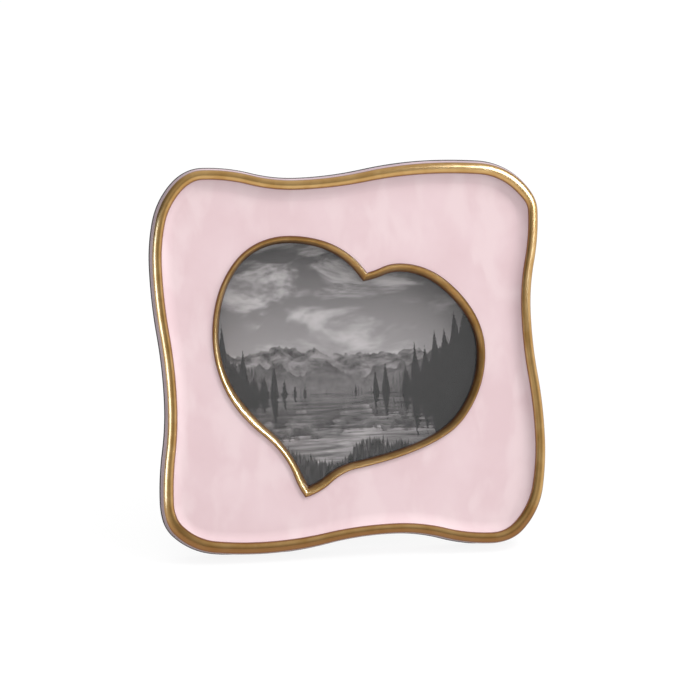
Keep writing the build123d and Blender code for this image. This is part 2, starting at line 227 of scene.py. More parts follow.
# Levels, as w: front of the back board, seat of the glass, front of the web, enamel, foot of the rim
BOARD_FRONT, SEAT, WEB_FRONT, FIELD, RIM_BASE = 3.0, 7.0, 9.0, 10.0, 12.0
RIM_HALF, RIM_ROOT = 1.8, 0.5
RIM_WIDE = np.pi * RIM_HALF
RIM_ROWS, RIM_STEPS = 1500, 28


def unit(angle):
    """The vector (cos, sin) of each angle in radians."""
    return np.stack([np.cos(angle), np.sin(angle)], axis=-1)


def wrapped(angle):
    """The same turn brought between minus and plus half a circle."""
    return (angle + np.pi) % (2 * np.pi) - np.pi


def arcs(points):
    """Two touching arcs from each point to the next, with the headings given at the points.
    Each arc is its centre, its radius, positive where it turns left, and its two headings."""
    p, q = points[:-1, :2], points[1:, :2]
    h0, h1 = np.radians(points[:-1, 2]), np.radians(points[1:, 2])
    s, t, chord = unit(h0), unit(h1), q - p
    square = (chord * chord).sum(-1)
    bend = 2 * (1 - (s * t).sum(-1))
    run = 2 * (chord * (s + t)).sum(-1)
    safe = np.maximum(bend, 1e-9)
    curved = (np.sqrt(run**2 + 4 * bend * square) - run) / (2 * safe)
    reach = np.where(bend > 1e-9, curved, square / run)[:, None]
    meet = (p + q + (s - t) * reach) / 2
    over = (q - t * reach) - (p + s * reach)
    middle = np.arctan2(over[:, 1], over[:, 0])
    start = np.stack([p, meet], axis=1).reshape(-1, 2)
    step = np.stack([meet, q], axis=1).reshape(-1, 2) - start
    first = np.stack([h0, middle], axis=1).ravel()
    last = np.stack([middle, h1], axis=1).ravel()
    left = unit(first + np.pi / 2)
    radius = (step * step).sum(-1) / (2 * (step * left).sum(-1))
    return start + left * radius[:, None], radius, first, first + wrapped(last - first)


def lengths(curve):
    """The length of each arc of a chain: its radius times its turn."""
    return np.abs(curve[1] * (curve[3] - curve[2]))


def rows(curve, shares):
    """Places along a chain of arcs at shares of its length: which arc each lies on, and how far
    along that arc."""
    ends = np.append(0.0, np.cumsum(lengths(curve)))
    at = shares * ends[-1]
    which = np.minimum(np.searchsorted(ends, at, side="right"), len(curve[1])) - 1
    return which, (at - ends[which]) / (ends[which + 1] - ends[which])


def along(curve, which, share, inside):
    """Points of a chain drawn further inside: centre + (radius - inside)(sin h, -cos h), where the
    heading h goes evenly from each arc's first to its last."""
    centre, radius, first, last = curve
    heading = first[which] + share * (last[which] - first[which])
    return centre[which] + (radius[which] - inside)[..., None] * unit(heading - np.pi / 2)


def eased(values, which, share):
    """Values given at the points of an outline, led from each point to the next along its two arcs
    by half a cosine wave."""
    ease = (1 - np.cos(np.pi * (which % 2 + share) / 2)) / 2
    return values[which // 2] * (1 - ease) + values[which // 2 + 1] * ease


def lift(at, w=None):
    """Points of the row frame of u, v pairs at a level, or of u, v, w triples."""
    return stand(at[..., 0], at[..., 1], at[..., 2] if w is None else w)


def skin(name, rings, ends, uv=None, crease=35):
    """A closed mesh of a grid of points: rings of one size, each closed on itself, joined in order.
    With ends "caps" a flat face shuts the first and last ring, and with "joined" the last meets the
    first. The faces are turned so that the volume they hold is positive."""
    count, size = rings.shape[:2]
    ring = np.arange(count if ends == "joined" else count - 1)[:, None]
    spot = np.arange(size)[None, :]
    line = (ring + 0 * spot)[..., None] + [0, 0, 1, 1]
    step = (spot + 0 * ring)[..., None] + [0, 1, 1, 0]
    quads = (line % count * size + step % size).reshape(-1, 4)
    points = rings.reshape(-1, 3)
    a, b, c, d = np.moveaxis((points - points.mean(axis=0))[quads], 1, 0)
    volume = ((np.cross(b, c) + np.cross(c, d)) * a).sum()
    outwards = slice(None, None, 1 if volume > 0 else -1)
    faces = quads[:, outwards].tolist()
    if ends == "caps":
        caps = np.arange(size)[::-1], (count - 1) * size + np.arange(size)
        faces += [cap[outwards].tolist() for cap in caps]
    mesh = bpy.data.meshes.new(name)
    mesh.from_pydata(points.tolist(), [], faces)
    if uv is not None:
        laid = [uv(line, step).reshape(-1, 4, 2)[:, outwards].reshape(-1, 2)]
        if ends == "caps":
            laid += [uv(np.array(face) // size, np.array(face) % size) for face in faces[-2:]]
        flat = np.concatenate(laid).astype(np.float32).ravel()
        mesh.uv_layers.new(name="UVMap").data.foreach_set("uv", flat)
    mesh.shade_smooth()
    mesh.set_sharp_from_angle(angle=np.radians(crease))
    made = bpy.data.objects.new(name, mesh)
    bpy.context.scene.collection.objects.link(made)
    return made


def rim_uv(count, long, steps, wide):
    """The UV map of a rim, in metres from mm: along its length, and across the steps of its profile."""
    def laid(line, step):
        return np.stack([step / count * long, np.minimum(line / steps, 1.0) * wide], -1) / 1000
    return laid


def fit(piece, material, body, stood_for):
    """Give a piece its material, the body that carries it and the CAD node that
    it stands for."""
    piece.data.materials.append(material)
    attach(piece, body)
    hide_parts(stood_for)


# Gold plate on polished cast brass: a warm metal in two tones that vary in patches, with soft streaks
# along the rim from polishing. Painted shade turns it brown along the rim's edges and on its outer
# side near the table, standing in for the dark reflections there.
def gilt_material(name, wide_mm, plain, rubbed, smoothest):
    """The gilt of a rim that is so wide across its profile, in two tones, with painted shade in brown along
    both edges and on its outer side near the table. Its roughness goes up from the smoothest in the streaks."""
    made = bpy.data.materials.new(name)
    tree = blank_tree(made)
    wide = wide_mm / 1000
    laid = node(tree, "UVMap", uv_map="UVMap")
    where = node(tree, "TexCoord").outputs["Object"]
    streak = node(tree, "Mapping", {"Vector": laid, "Scale": (1000 / 50.0, 1000 / 0.35, 1)})
    streak = node(tree, "TexNoise", {"Vector": streak, "Scale": 1.0, "Detail": 3.0})
    cloud = node(tree, "TexNoise", {"Vector": where, "Scale": 1000 / 7.0, "Detail": 3.0})
    swell = node(tree, "TexNoise", {"Vector": where, "Scale": 1000 / 3.5, "Detail": 1.0})
    tone = node(tree, "MapRange", {"Value": cloud, "From Min": 0.35, "From Max": 0.65})
    gold = node(tree, "Mix", {"Factor": tone, "A": paint(plain), "B": paint(rubbed)}, data_type="RGBA")
    # Painted shade: brown over both edges of the profile and, low down, on its outer side, for the dark
    # reflections there
    across = node(tree, "SeparateXYZ", [laid]).outputs["Y"]
    off = node(tree, "Math", [across, wide / 2], operation="SUBTRACT")
    off = node(tree, "Math", [off], operation="ABSOLUTE")
    edge = node(tree, "MapRange", {"Value": off, "From Min": 0.2 * wide, "From Max": 0.45 * wide},
                interpolation_type="SMOOTHSTEP")
    tall = node(tree, "SeparateXYZ", [where]).outputs["Z"]
    foot = node(tree, "MapRange", {"Value": tall, "From Min": 0.010, "From Max": 0.024, "To Min": 0.8,
                                   "To Max": 0.0}, interpolation_type="SMOOTHSTEP")
    outer_side = node(tree, "MapRange", {"Value": across, "From Min": 0.4 * wide, "From Max": 0.65 * wide,
                                         "To Min": 1.0, "To Max": 0.15}, interpolation_type="SMOOTHSTEP")
    foot = node(tree, "Math", [foot, outer_side], operation="MULTIPLY")
    painted_rim_shade = node(tree, "Math", [edge, foot], operation="ADD", use_clamp=True)
    gold_with_painted_shade = node(tree, "Mix", {"Factor": painted_rim_shade, "A": gold, "B": paint("#7E4F24")}, data_type="RGBA")
    rough = node(tree, "MapRange", {"Value": streak, "From Min": 0.3, "From Max": 0.7, "To Min": smoothest,
                                    "To Max": smoothest + 0.12})
    bumps = node(tree, "Bump", {"Height": swell, "Strength": 0.12, "Distance": 0.0004})
    lines = node(tree, "Bump", {"Height": streak, "Strength": 0.08, "Distance": 0.00005, "Normal": bumps})
    metal = node(tree, "BsdfPrincipled", {"Base Color": gold_with_painted_shade, "Metallic": 1.0, "Roughness": rough,
                                          "Normal": lines, "Coat Weight": 0.4, "Coat Roughness": 0.18})
    node(tree, "OutputMaterial", {"Surface": metal})
    return made


outline = arcs(OUTLINE)
RIM_LONG = lengths(outline).sum()
rim_laid = rows(outline, np.arange(RIM_ROWS) / RIM_ROWS)
rim_spread = eased(RIM_SPREAD, *rim_laid)


def rim_ring(out, w):
    """The outline drawn further out than the rim's crest, at a level, and stretched inwards by the
    spread: out (1 + spread / width) - spread / 2."""
    inside = rim_spread / 2 - out * (1 + rim_spread / (2 * RIM_HALF))
    return lift(along(outline, *rim_laid, inside), w)


half_turn = np.linspace(0, np.pi, RIM_STEPS + 1)
outs = np.append(RIM_HALF * np.cos(half_turn), [-RIM_HALF, RIM_HALF])
ups = np.append(RIM_BASE + RIM_HALF * np.sin(half_turn), [RIM_BASE - RIM_ROOT] * 2)
rings = np.stack([rim_ring(out, w) for out, w in zip(outs, ups)])
outer_rim = skin("outer_rim", rings, "joined", crease=50, uv=rim_uv(RIM_ROWS, RIM_LONG, RIM_STEPS, RIM_WIDE))
gilt = gilt_material("gold_plated_brass", RIM_WIDE, "#BC9152", "#D0A96C", 0.27)
fit(outer_rim, gilt, "frame", "frame_casting")


# Heart rim of the same casting: a low rounded edge that slopes down to the glass inside it,
# polished and plated with the rest, with a mitre at the cleft and at the tip
HEART_LEFT = np.array([
    (7.5, 31.0, 125), (1.5, 38.0, 140), (-22.0, 45.5, 180), (-41.0, 37.0, 230), (-50.5, 8.5, 270),
    (-40.5, -20.5, 310), (-26.0, -36.0, 303), (-18.5, -51.0, 304)])
HEART_RIGHT = np.array([
    (-18.5, -51.0, 14), (1.0, -41.5, 10), (26.5, -34.5, 22), (42.0, -24.0, 52), (50.5, 0.5, 90),
    (36.5, 27.5, 140), (19.0, 34.0, 180), (7.5, 31.0, 192)])
# At the points of the left and the right side: how much broader the rim is outwards and inwards,
# and how much higher its inner slope bulges
HEART_OUT = [0.15, 0.0, 0.45, 0.35, 0.25, 0.0, 0.0, 0.3], [0.3, 0.0, 0.0, 0.0, 0.0, 0.0, 0.1, 0.15]
HEART_IN = [0.5, 0.6, 0.0, -0.2, -0.1, 1.0, 0.4, 0.8], [0.8, 0.35, 0.2, 0.5, 0.6, 0.95, 0.75, 0.5]
HEART_BULGE = [0.0, 0.0, 0.0, 0.0, 0.25, 0.5, 0.5, 0.3], [0.3, 0.0, 0.0, 0.0, 0.0, 0.0, 0.0, 0.0]
# How far inside its outer line the crest and the foot lie, their levels, and the width of the profile
HEART_CREST_IN, HEART_FOOT_IN, HEART_CREST, HEART_FOOT, HEART_WIDE = 0.75, 2.3, 11.3, 8.3, 5.2
# How far its outer edge starts below the enamel and its foot stays clear of the glass, and the
# powers that round its outer and its inner slope
HEART_SINK, HEART_CLEAR = 0.1, 0.02
RISE_POWER, FALL_POWER = 4, 1.6
HEART_ROWS, RISE_STEPS, FALL_STEPS = 620, 8, 14
heart_sides = [arcs(HEART_LEFT), arcs(HEART_RIGHT)]
heart_long = sum(lengths(side).sum() for side in heart_sides)
heart_laid = [rows(side, np.arange(HEART_ROWS) / HEART_ROWS) for side in heart_sides]


def heart_line(inside):
    """The heart drawn further inside: the last arc of each side is turned to where it
    meets the first of the other, so that the cleft and the tip stay sharp."""
    sides = [[part.copy() for part in side] for side in heart_sides]
    for one, two in (sides, sides[::-1]):
        near = along(one, np.array([-1]), np.array([1.0]), inside)[0]
        r1, r2 = abs(one[1][-1] - inside), abs(two[1][0] - inside)
        between = two[0][0] - one[0][-1]
        far = np.linalg.norm(between)
        foot = (far**2 + r1**2 - r2**2) / (2 * far)
        side = np.array([-between[1], between[0]]) / far * np.sqrt(r1**2 - foot**2)
        meets = one[0][-1] + between / far * foot + np.stack([side, -side])
        meet = meets[np.argmin(np.linalg.norm(meets - near, axis=1))]
        leave = (meet - one[0][-1]) / (one[1][-1] - inside)
        enter = (meet - two[0][0]) / (two[1][0] - inside)
        one[3][-1] = one[2][-1] + wrapped(np.arctan2(leave[0], -leave[1]) - one[2][-1])
        two[2][0] = two[3][0] - wrapped(two[3][0] - np.arctan2(enter[0], -enter[1]))
    return np.concatenate([along(side, *laid, inside) for side, laid in zip(sides, heart_laid)])


def heart_spread(spreads):
    """Values at the points of both sides of the heart, led along its rows."""
    pairs = zip(spreads, heart_laid)
    return np.concatenate([eased(np.array(spread), *laid) for spread, laid in pairs])[:, None]


def heart_ring(inside, w):
    """The heart drawn further inside, at a level, moved by the spread s from that line to the one
    1 mm beyond: line + s (beyond - line), where s grows from the crest to either edge. The inner
    slope is raised by the bulge times 4 p (1 - p) at a part p of the way down it."""
    at = heart_line(inside)
    if inside < HEART_CREST_IN:
        at += heart_spread(HEART_OUT) * (1 - inside / HEART_CREST_IN) * (heart_line(inside - 1) - at)
    else:
        part = (inside - HEART_CREST_IN) / (HEART_FOOT_IN - HEART_CREST_IN)
        w = w + heart_spread(HEART_BULGE)[:, 0] * 4 * part * (1 - part)
        at += heart_spread(HEART_IN) * part * (heart_line(inside + 1) - at)
    return lift(at, w)


rise = np.linspace(0, 1, RISE_STEPS + 1)
fall = np.linspace(0, 1, FALL_STEPS + 1)[1:]
low = FIELD - HEART_SINK
ins = np.concatenate([HEART_CREST_IN * rise, HEART_CREST_IN + (HEART_FOOT_IN - HEART_CREST_IN) * fall,
                      [HEART_FOOT_IN, 0.0]])
ups = np.concatenate([low + (HEART_CREST - low) * (1 - (1 - rise) ** RISE_POWER),
                      HEART_CREST - (HEART_CREST - HEART_FOOT) * fall**FALL_POWER, [SEAT + HEART_CLEAR] * 2])
rings = np.stack([heart_ring(inside, w) for inside, w in zip(ins, ups)])
heart_rim = skin("heart_rim", rings, "joined", crease=50,
                 uv=rim_uv(2 * HEART_ROWS, heart_long, RISE_STEPS + FALL_STEPS, HEART_WIDE))
# Painted shade: the heart rim has the same plate in darker tones, standing in for the darker reflections it
# shows
heart_gilt_painted_darker = gilt_material("gold_plated_brass_heart_painted_darker", HEART_WIDE, "#A87C3F", "#BE955A", 0.36)
fit(heart_rim, heart_gilt_painted_darker, "frame", "frame_casting")

# Black paper round each card lets only the rim that it serves mirror it
for card, *_, rim in LAMPS:
    if rim:
        seen_in = bpy.data.collections.new(card + "_seen_in")
        seen_in.objects.link(bpy.data.objects[rim])
        bpy.data.objects[card].light_linking.receiver_collection = seen_in


# Body of the casting behind the rims: the block that carries them, with a web round the window
# and a square pocket behind it. Enamel and the back board cover it.
# The side of the pocket and the place of its middle up the face
POCKET, STACK_V = 104.4, -3.0
# How far the block reaches out from the crest of the rim, and how far inside the crest it faces
# the heart. The web ends this far inside the heart's outer line.
CORE_OUT, CORE_FACING, WEB_IN = 1.2, 2.0, 0.2
FACING_STEPS = 20000
CORNER_POWER = 100
heart_foot = heart_line(WEB_IN)
heart_angle = np.unwrap(np.arctan2(heart_foot[:, 1], heart_foot[:, 0]))


def outline_facing(angle, inside):
    """Places along the outline, drawn further inside, that lie at polar angles about the middle."""
    shares = np.arange(FACING_STEPS) / FACING_STEPS
    at = along(outline, *rows(outline, shares), inside)
    turn = np.unwrap(np.arctan2(at[:, 1], at[:, 0]))
    turn, shares = np.append(turn, turn[0] + 2 * np.pi), np.append(shares, 1.0)
    return rows(outline, np.interp(turn[0] + (angle - turn[0]) % (2 * np.pi), turn, shares))


def square_facing(at, side):
    """Where the rays from the middle of the stack to some points cross a square with slightly round
    corners, |x|^100 + |y|^100 = (side/2)^100."""
    ray = unit(np.arctan2(at[:, 1] - STACK_V, at[:, 0]))
    reach = side / 2 / (np.abs(ray) ** CORNER_POWER).sum(-1) ** (1 / CORNER_POWER)
    return ray * reach[:, None] + [0.0, STACK_V]


core_laid = outline_facing(heart_angle, CORE_FACING)
core_out = along(outline, *core_laid, -CORE_OUT)
core_in = along(outline, *core_laid, RIM_HALF)
pocket = square_facing(heart_foot, POCKET)
section = [(heart_foot, SEAT), (heart_foot, WEB_FRONT), (core_in, WEB_FRONT), (core_in, RIM_BASE),
           (core_out, RIM_BASE), (core_out, BOARD_FRONT), (pocket, BOARD_FRONT), (pocket, SEAT)]
rings = np.stack([lift(at, w) for at, w in section])
casting_body = skin("casting_body", rings, "joined", uv=lambda line, step: np.stack([step, line], -1) / 1000)
fit(casting_body, gilt, "frame", "frame_casting")


# Enamel field: pale pink enamel poured into the tray between the rims, where it lies flat and
# curves up to the outer rim. It is glossy, with faint pale patches.
DISH_RADIUS, DISH_STEPS, FLAT_STEPS = 6.0, 16, 6
climb = np.linspace(0, np.arccos(1 - (RIM_BASE - FIELD) / DISH_RADIUS), DISH_STEPS + 1)
dish_in = RIM_HALF + DISH_RADIUS * np.sin(climb[-1])
field_laid = outline_facing(heart_angle, dish_in)
dish_edge = along(outline, *field_laid, dish_in)
flat = np.arange(FLAT_STEPS)[:, None, None] / FLAT_STEPS
plan = np.concatenate([
    heart_foot + (dish_edge - heart_foot) * flat,
    np.stack([along(outline, *field_laid, dish_in - DISH_RADIUS * np.sin(a)) for a in climb]),
    along(outline, *field_laid, RIM_HALF)[None], heart_foot[None]])
level = np.concatenate([np.full(FLAT_STEPS, FIELD), FIELD + DISH_RADIUS * (1 - np.cos(climb)),
                        [WEB_FRONT] * 2])
enamel_field = skin("pink_enamel_field", lift(plan, level[:, None]), "joined",
                    uv=lambda line, step: plan[line % plan.shape[0], step % plan.shape[1]] / 1000)


# Vitreous enamel over metal: an opaque pale pink glass, a little uneven in depth and tone from
# being laid on by hand, with faint pale patches drawn out up the face and a soft shine
def enamel_material(name, deep, middle, pale, rough_from, rough_to, coat):
    """Enamel in three close tones, the deepest, the usual and the palest, between two roughnesses,
    with a clear top coat of some weight or none."""
    made = bpy.data.materials.new(name)
    tree = blank_tree(made)
    where = node(tree, "TexCoord").outputs["Object"]
    tall = node(tree, "Mapping", {"Vector": where, "Scale": (1000 / 10.0, 1000 / 10.0, 1000 / 22.0)})
    streak = node(tree, "TexNoise", {"Vector": tall, "Scale": 1.0, "Detail": 3.0, "Roughness": 0.45,
                                     "Distortion": 0.3})
    cloud = node(tree, "TexNoise", {"Vector": where, "Scale": 1000 / 22.0, "Detail": 3.0})
    wave = node(tree, "TexNoise", {"Vector": where, "Scale": 1000 / 12.0, "Detail": 1.0})
    grain = node(tree, "TexNoise", {"Vector": where, "Scale": 1000 / 0.6, "Detail": 2.0})
    low = node(tree, "MapRange", {"Value": cloud, "From Min": 0.38, "From Max": 0.62})
    high = node(tree, "MapRange", {"Value": streak, "From Min": 0.44, "From Max": 0.66},
                interpolation_type="SMOOTHSTEP")
    base = node(tree, "Mix", {"Factor": low, "A": paint(deep), "B": paint(middle)}, data_type="RGBA")
    tone = node(tree, "Mix", {"Factor": high, "A": base, "B": paint(pale)}, data_type="RGBA")
    rough = node(tree, "MapRange", {"Value": grain, "To Min": rough_from, "To Max": rough_to})
    bumps = node(tree, "Bump", {"Height": wave, "Strength": 0.2, "Distance": 0.0006})
    glass = node(tree, "BsdfPrincipled", {"Base Color": tone, "Roughness": rough, "IOR": 1.5,
                                          "Normal": bumps, "Coat Weight": coat, "Coat Roughness": 0.07})
    node(tree, "OutputMaterial", {"Surface": glass})
    return made


field_enamel = enamel_material("pink_enamel", "#E9CCD0", "#EED3D7", "#F1D8DB", 0.42, 0.55, 0.7)
fit(enamel_field, field_enamel, "frame", "enamel_field")


# Enamel edge: the same enamel as a coat on the casting's side wall, thinner at the rim and
# fuller towards the back, where it meets the board. Its tones are painted darker and greyer than
# the field's, standing in for the shade on the side wall.
WALL_OUT, WALL_BULGE, WALL_STEPS = 2.6, 0.12, 8
down = np.linspace(0, 1, WALL_STEPS + 1)
outs = np.append(RIM_HALF + (WALL_OUT - RIM_HALF) * down + WALL_BULGE * np.sin(np.pi * down), [CORE_OUT] * 2)
ups = np.append(RIM_BASE + (BOARD_FRONT - RIM_BASE) * down, [BOARD_FRONT, RIM_BASE])
rings = np.stack([rim_ring(out, w) for out, w in zip(outs, ups)])
enamel_edge = skin("pink_enamel_wall", rings, "joined", uv=lambda line, step: np.stack(
    [step / RIM_ROWS * RIM_LONG, line * 1.0], -1) / 1000)
# Painted shade: darker, greyer copies of the field's pinks
shaded_edge_enamel = enamel_material("pink_enamel_edge_painted_shade", "#B59EA5", "#C3ABB2", "#CEB7BD", 0.6, 0.75, 0.0)
fit(enamel_edge, shaded_edge_enamel, "frame", "enamel_edge")


# Window glass: a square of 2 mm picture glass with ground edges, dropped into the pocket
# from behind so that it lies on the web round the heart
GLASS, GLASS_BACK = 103.8, 5.0
ROUNDED = 1.0


def round_box(half_x, half_y, corner, steps):
    """A rectangle with round corners about the origin: four quarter circles in order, each its own
    middle + corner (cos, sin)."""
    angle = np.linspace(0, np.pi / 2, steps) + np.arange(4)[:, None] * np.pi / 2
    middle = np.array([[1, 1], [-1, 1], [-1, -1], [1, -1]]) * [half_x - corner, half_y - corner]
    return (middle[:, None] + corner * unit(angle)).reshape(-1, 2)


def square(side, corner):
    """A square with round corners about the middle of the stack."""
    return round_box(side / 2, side / 2, corner, steps=9) + [0.0, STACK_V]


def bevelled(drawn, low, high, bevel):
    """A plate between two levels: its outline, drawn at an inset, carried up through a small bevel
    at each face."""
    steps = [(bevel, low), (0.0, low + bevel), (0.0, high - bevel), (bevel, high)]
    lines = [(drawn(inset), w) for inset, w in steps]
    return np.stack([np.column_stack([at, np.full(len(at), w)]) for at, w in lines])


def square_plate(side, corner, low, high, bevel):
    """A bevelled square plate of the stack."""
    return bevelled(lambda inset: square(side - 2 * inset, corner), low, high, bevel)


pane = lift(square_plate(GLASS, ROUNDED, GLASS_BACK, SEAT, bevel=0.25))
window_glass = skin("window_pane", pane, "caps")
# Float glass: clear, with a polished face that mirrors a little light and a trace of haze in places
clear = bpy.data.materials.new("float_glass")
tree = blank_tree(clear)
where = node(tree, "TexCoord").outputs["Object"]
path = node(tree, "LightPath").outputs
smear = node(tree, "TexNoise", {"Vector": where, "Scale": 1000 / 18.0, "Detail": 3.0})
haze = node(tree, "MapRange", {"Value": smear, "From Min": 0.4, "From Max": 0.7, "To Min": 0.0,
                               "To Max": 0.004})
glass = node(tree, "BsdfPrincipled", {"Base Color": paint("#FEFEFE"), "Roughness": haze, "IOR": 1.5,
                                      "Transmission Weight": 1.0})
through = node(tree, "BsdfTransparent", {"Color": paint("#FEFEFE")})
lamp_ray = node(tree, "Math", [path["Is Shadow Ray"], path["Is Diffuse Ray"]], operation="MAXIMUM")
window = node(tree, "MixShader", [lamp_ray, glass, through])
node(tree, "OutputMaterial", {"Surface": window})
fit(window_glass, clear, "frame", "window_glass")


# Photo print: a square sheet of photo paper with a made-up black and white landscape, a lake
# between hills under a misty sky, pressed flat against the glass. It is drawn just clear of it.
PRINT, PRINT_CORNER, PRINT_BACK, PRINT_CLEAR = 101.6, 0.2, 4.7, 0.03
laid_print = square_plate(PRINT, PRINT_CORNER, PRINT_BACK, GLASS_BACK - PRINT_CLEAR, bevel=0.02)


def print_uv(line, step):
    """Where each point of the sheet lies from its middle, as shares of its width."""
    return (laid_print[line % laid_print.shape[0], step % laid_print.shape[1], :2] - [0.0, STACK_V]) / PRINT


photo_print = skin("landscape_print", lift(laid_print), "caps", uv=print_uv)
# Silver print on satin paper of a hard grade: neutral greys with deep shadows and a fine grain.
# Places in the picture are shares of its width from its middle. Below the level of the lake, the
# view is read as far above it again, swayed by the ripples.
LAKE = -0.10
silver = bpy.data.materials.new("silver_print")
tree = blank_tree(silver)
laid = node(tree, "UVMap", uv_map="UVMap")
spot = node(tree, "SeparateXYZ", [laid]).outputs
depth = node(tree, "Math", [spot["Y"], LAKE], operation="SUBTRACT")
height = node(tree, "Math", [depth], operation="ABSOLUTE")
ripple = node(tree, "Mapping", {"Vector": laid, "Scale": (7.0, 90.0, 1.0)})
ripple = node(tree, "TexNoise", {"Vector": ripple, "Scale": 1.0, "Detail": 3.0})
water = node(tree, "Math", [depth, 0.0], operation="LESS_THAN")
sway = node(tree, "Math", [ripple, 0.5], operation="SUBTRACT")
sway = node(tree, "Math", [sway, water], operation="MULTIPLY")
sight = node(tree, "Math", [sway, 0.09, height], operation="MULTIPLY_ADD")
slide = node(tree, "Math", [sway, 0.02, spot["X"]], operation="MULTIPLY_ADD")
seen_at = node(tree, "CombineXYZ", {"X": slide, "Y": sight})
cloud = node(tree, "Mapping", {"Vector": seen_at, "Scale": (2.6, 7.0, 1.0)})
cloud = node(tree, "TexNoise", {"Vector": cloud, "Scale": 1.0, "Detail": 8.0, "Roughness": 0.58,
                                "Distortion": 0.4})
sky = node(tree, "MapRange", {"Value": sight, "From Min": 0.10, "From Max": 0.55})
sky = node(tree, "Mix", {"Factor": sky, "A": paint("#BFBBBC"), "B": paint("#5C5859")}, data_type="RGBA")
veil = node(tree, "MapRange", {"Value": cloud, "From Min": 0.46, "From Max": 0.62},
            interpolation_type="SMOOTHSTEP")
view = node(tree, "Mix", {"Factor": veil, "A": sky, "B": paint("#DBD7D8")}, data_type="RGBA")
# The land rises to both sides of a line a little left of the middle, and firs have ragged boughs
flank = node(tree, "Math", [spot["X"], 0.06], operation="ADD")
flank = node(tree, "Math", [flank, flank], operation="MULTIPLY")
bough = node(tree, "Mapping", {"Vector": seen_at, "Scale": (260.0, 130.0, 1.0)})
bough = node(tree, "TexNoise", {"Vector": bough, "Scale": 1.0, "Detail": 1.0})
# Ridges from far to near: mean height and how much it varies, waves across, start of the noise, lift
# at the sides, firs across and their height, texture across and up, dark tone, light tone, and mist
# at the foot
RIDGES = [
    (0.150, 0.240, 3.0, 2.3, 0.00, 1.0, 0.000, 17.0, 30.0, "#575354", "#B6B2B3", 0.5),
    (0.075, 0.210, 5.0, 8.1, 0.35, 1.0, 0.000, 26.0, 34.0, "#413D3E", "#878384", 0.5),
    (-0.035, 0.130, 9.0, 4.7, 0.95, 85.0, 0.045, 60.0, 30.0, "#2F2B2C", "#736F70", 0.35),
    (-0.110, 0.080, 11.0, 6.2, 1.25, 27.0, 0.150, 150.0, 50.0, "#1E1A1B", "#4B4748", 0.0),
]
for mean, varies, waves, start, sides, firs, tall, fine_across, fine_up, dark, light, misty in RIDGES:
    way = node(tree, "Math", [slide, waves, start], operation="MULTIPLY_ADD")
    jag = node(tree, "TexNoise", {"W": way, "Scale": 1.0, "Detail": 9.0, "Roughness": 0.58},
               noise_dimensions="1D")
    crest = node(tree, "MapRange", {"Value": jag, "To Min": mean - varies / 2,
                                    "To Max": mean + varies / 2}, clamp=False)
    crest = node(tree, "Math", [flank, sides, crest], operation="MULTIPLY_ADD")
    # A row of firs: one triangle each, of its own height
    row = node(tree, "Math", [slide, firs], operation="MULTIPLY")
    which = node(tree, "Math", [row], operation="FLOOR")
    grown = node(tree, "TexWhiteNoise", {"W": which}, noise_dimensions="1D")
    spire = node(tree, "Math", [row, 0.5], operation="PINGPONG")
    spire = node(tree, "Math", [spire, grown], operation="MULTIPLY")
    crest = node(tree, "Math", [spire, 2 * tall, crest], operation="MULTIPLY_ADD")
    crest = node(tree, "Math", [bough, 0.5 * tall, crest], operation="MULTIPLY_ADD")
    under = node(tree, "Math", [crest, sight], operation="SUBTRACT")
    edge = node(tree, "MapRange", {"Value": under, "From Min": -0.002, "From Max": 0.003})
    face = node(tree, "Mapping", {"Vector": seen_at, "Location": (start, mean, start),
                                  "Scale": (fine_across, fine_up, 1.0)})
    face = node(tree, "TexNoise", {"Vector": face, "Scale": 1.0, "Detail": 7.0, "Roughness": 0.65,
                                   "Distortion": 0.5})
    face = node(tree, "MapRange", {"Value": face, "From Min": 0.38, "From Max": 0.66})
    slope = node(tree, "Mix", {"Factor": face, "A": paint(dark), "B": paint(light)}, data_type="RGBA")
    mist = node(tree, "MapRange", {"Value": sight, "From Min": 0.0, "From Max": 0.15, "To Min": misty,
                                   "To Max": 0.0}, interpolation_type="SMOOTHSTEP")
    slope = node(tree, "Mix", {"Factor": mist, "A": slope, "B": paint("#ABA7A8")}, data_type="RGBA")
    view = node(tree, "Mix", {"Factor": edge, "A": view, "B": slope}, data_type="RGBA")
# Water darkens what it mirrors and breaks it into bright and dark bars
bars = node(tree, "MapRange", {"Value": ripple, "From Min": 0.32, "From Max": 0.68, "To Min": 0.45,
                               "To Max": 1.2})
bars = node(tree, "Mix", {"Factor": water, "A": 1.0, "B": bars})
# A bank of dark grass along the foot of the picture
reed = node(tree, "Math", [spot["X"], 120.0], operation="MULTIPLY")
reed = node(tree, "TexNoise", {"W": reed, "Scale": 1.0, "Detail": 2.0}, noise_dimensions="1D")
lie = node(tree, "TexNoise", {"W": spot["X"], "Scale": 4.0, "Detail": 2.0}, noise_dimensions="1D")
bank = node(tree, "MapRange", {"Value": lie, "To Min": -0.47, "To Max": -0.22})
bank = node(tree, "Math", [reed, 0.07, bank], operation="MULTIPLY_ADD")
bank = node(tree, "Math", [bank, spot["Y"]], operation="SUBTRACT")
bank = node(tree, "MapRange", {"Value": bank, "From Min": -0.004, "From Max": 0.006})
tuft = node(tree, "Mapping", {"Vector": laid, "Scale": (150.0, 22.0, 1.0)})
tuft = node(tree, "TexNoise", {"Vector": tuft, "Scale": 1.0, "Detail": 4.0})
tuft = node(tree, "MapRange", {"Value": tuft, "From Min": 0.4, "From Max": 0.75})
grass = node(tree, "Mix", {"Factor": tuft, "A": paint("#332F30"), "B": paint("#8C8889")}, data_type="RGBA")
view = node(tree, "Mix", {"Factor": 1.0, "A": view, "B": bars}, data_type="RGBA", blend_type="MULTIPLY")
view = node(tree, "Mix", {"Factor": bank, "A": view, "B": grass}, data_type="RGBA")
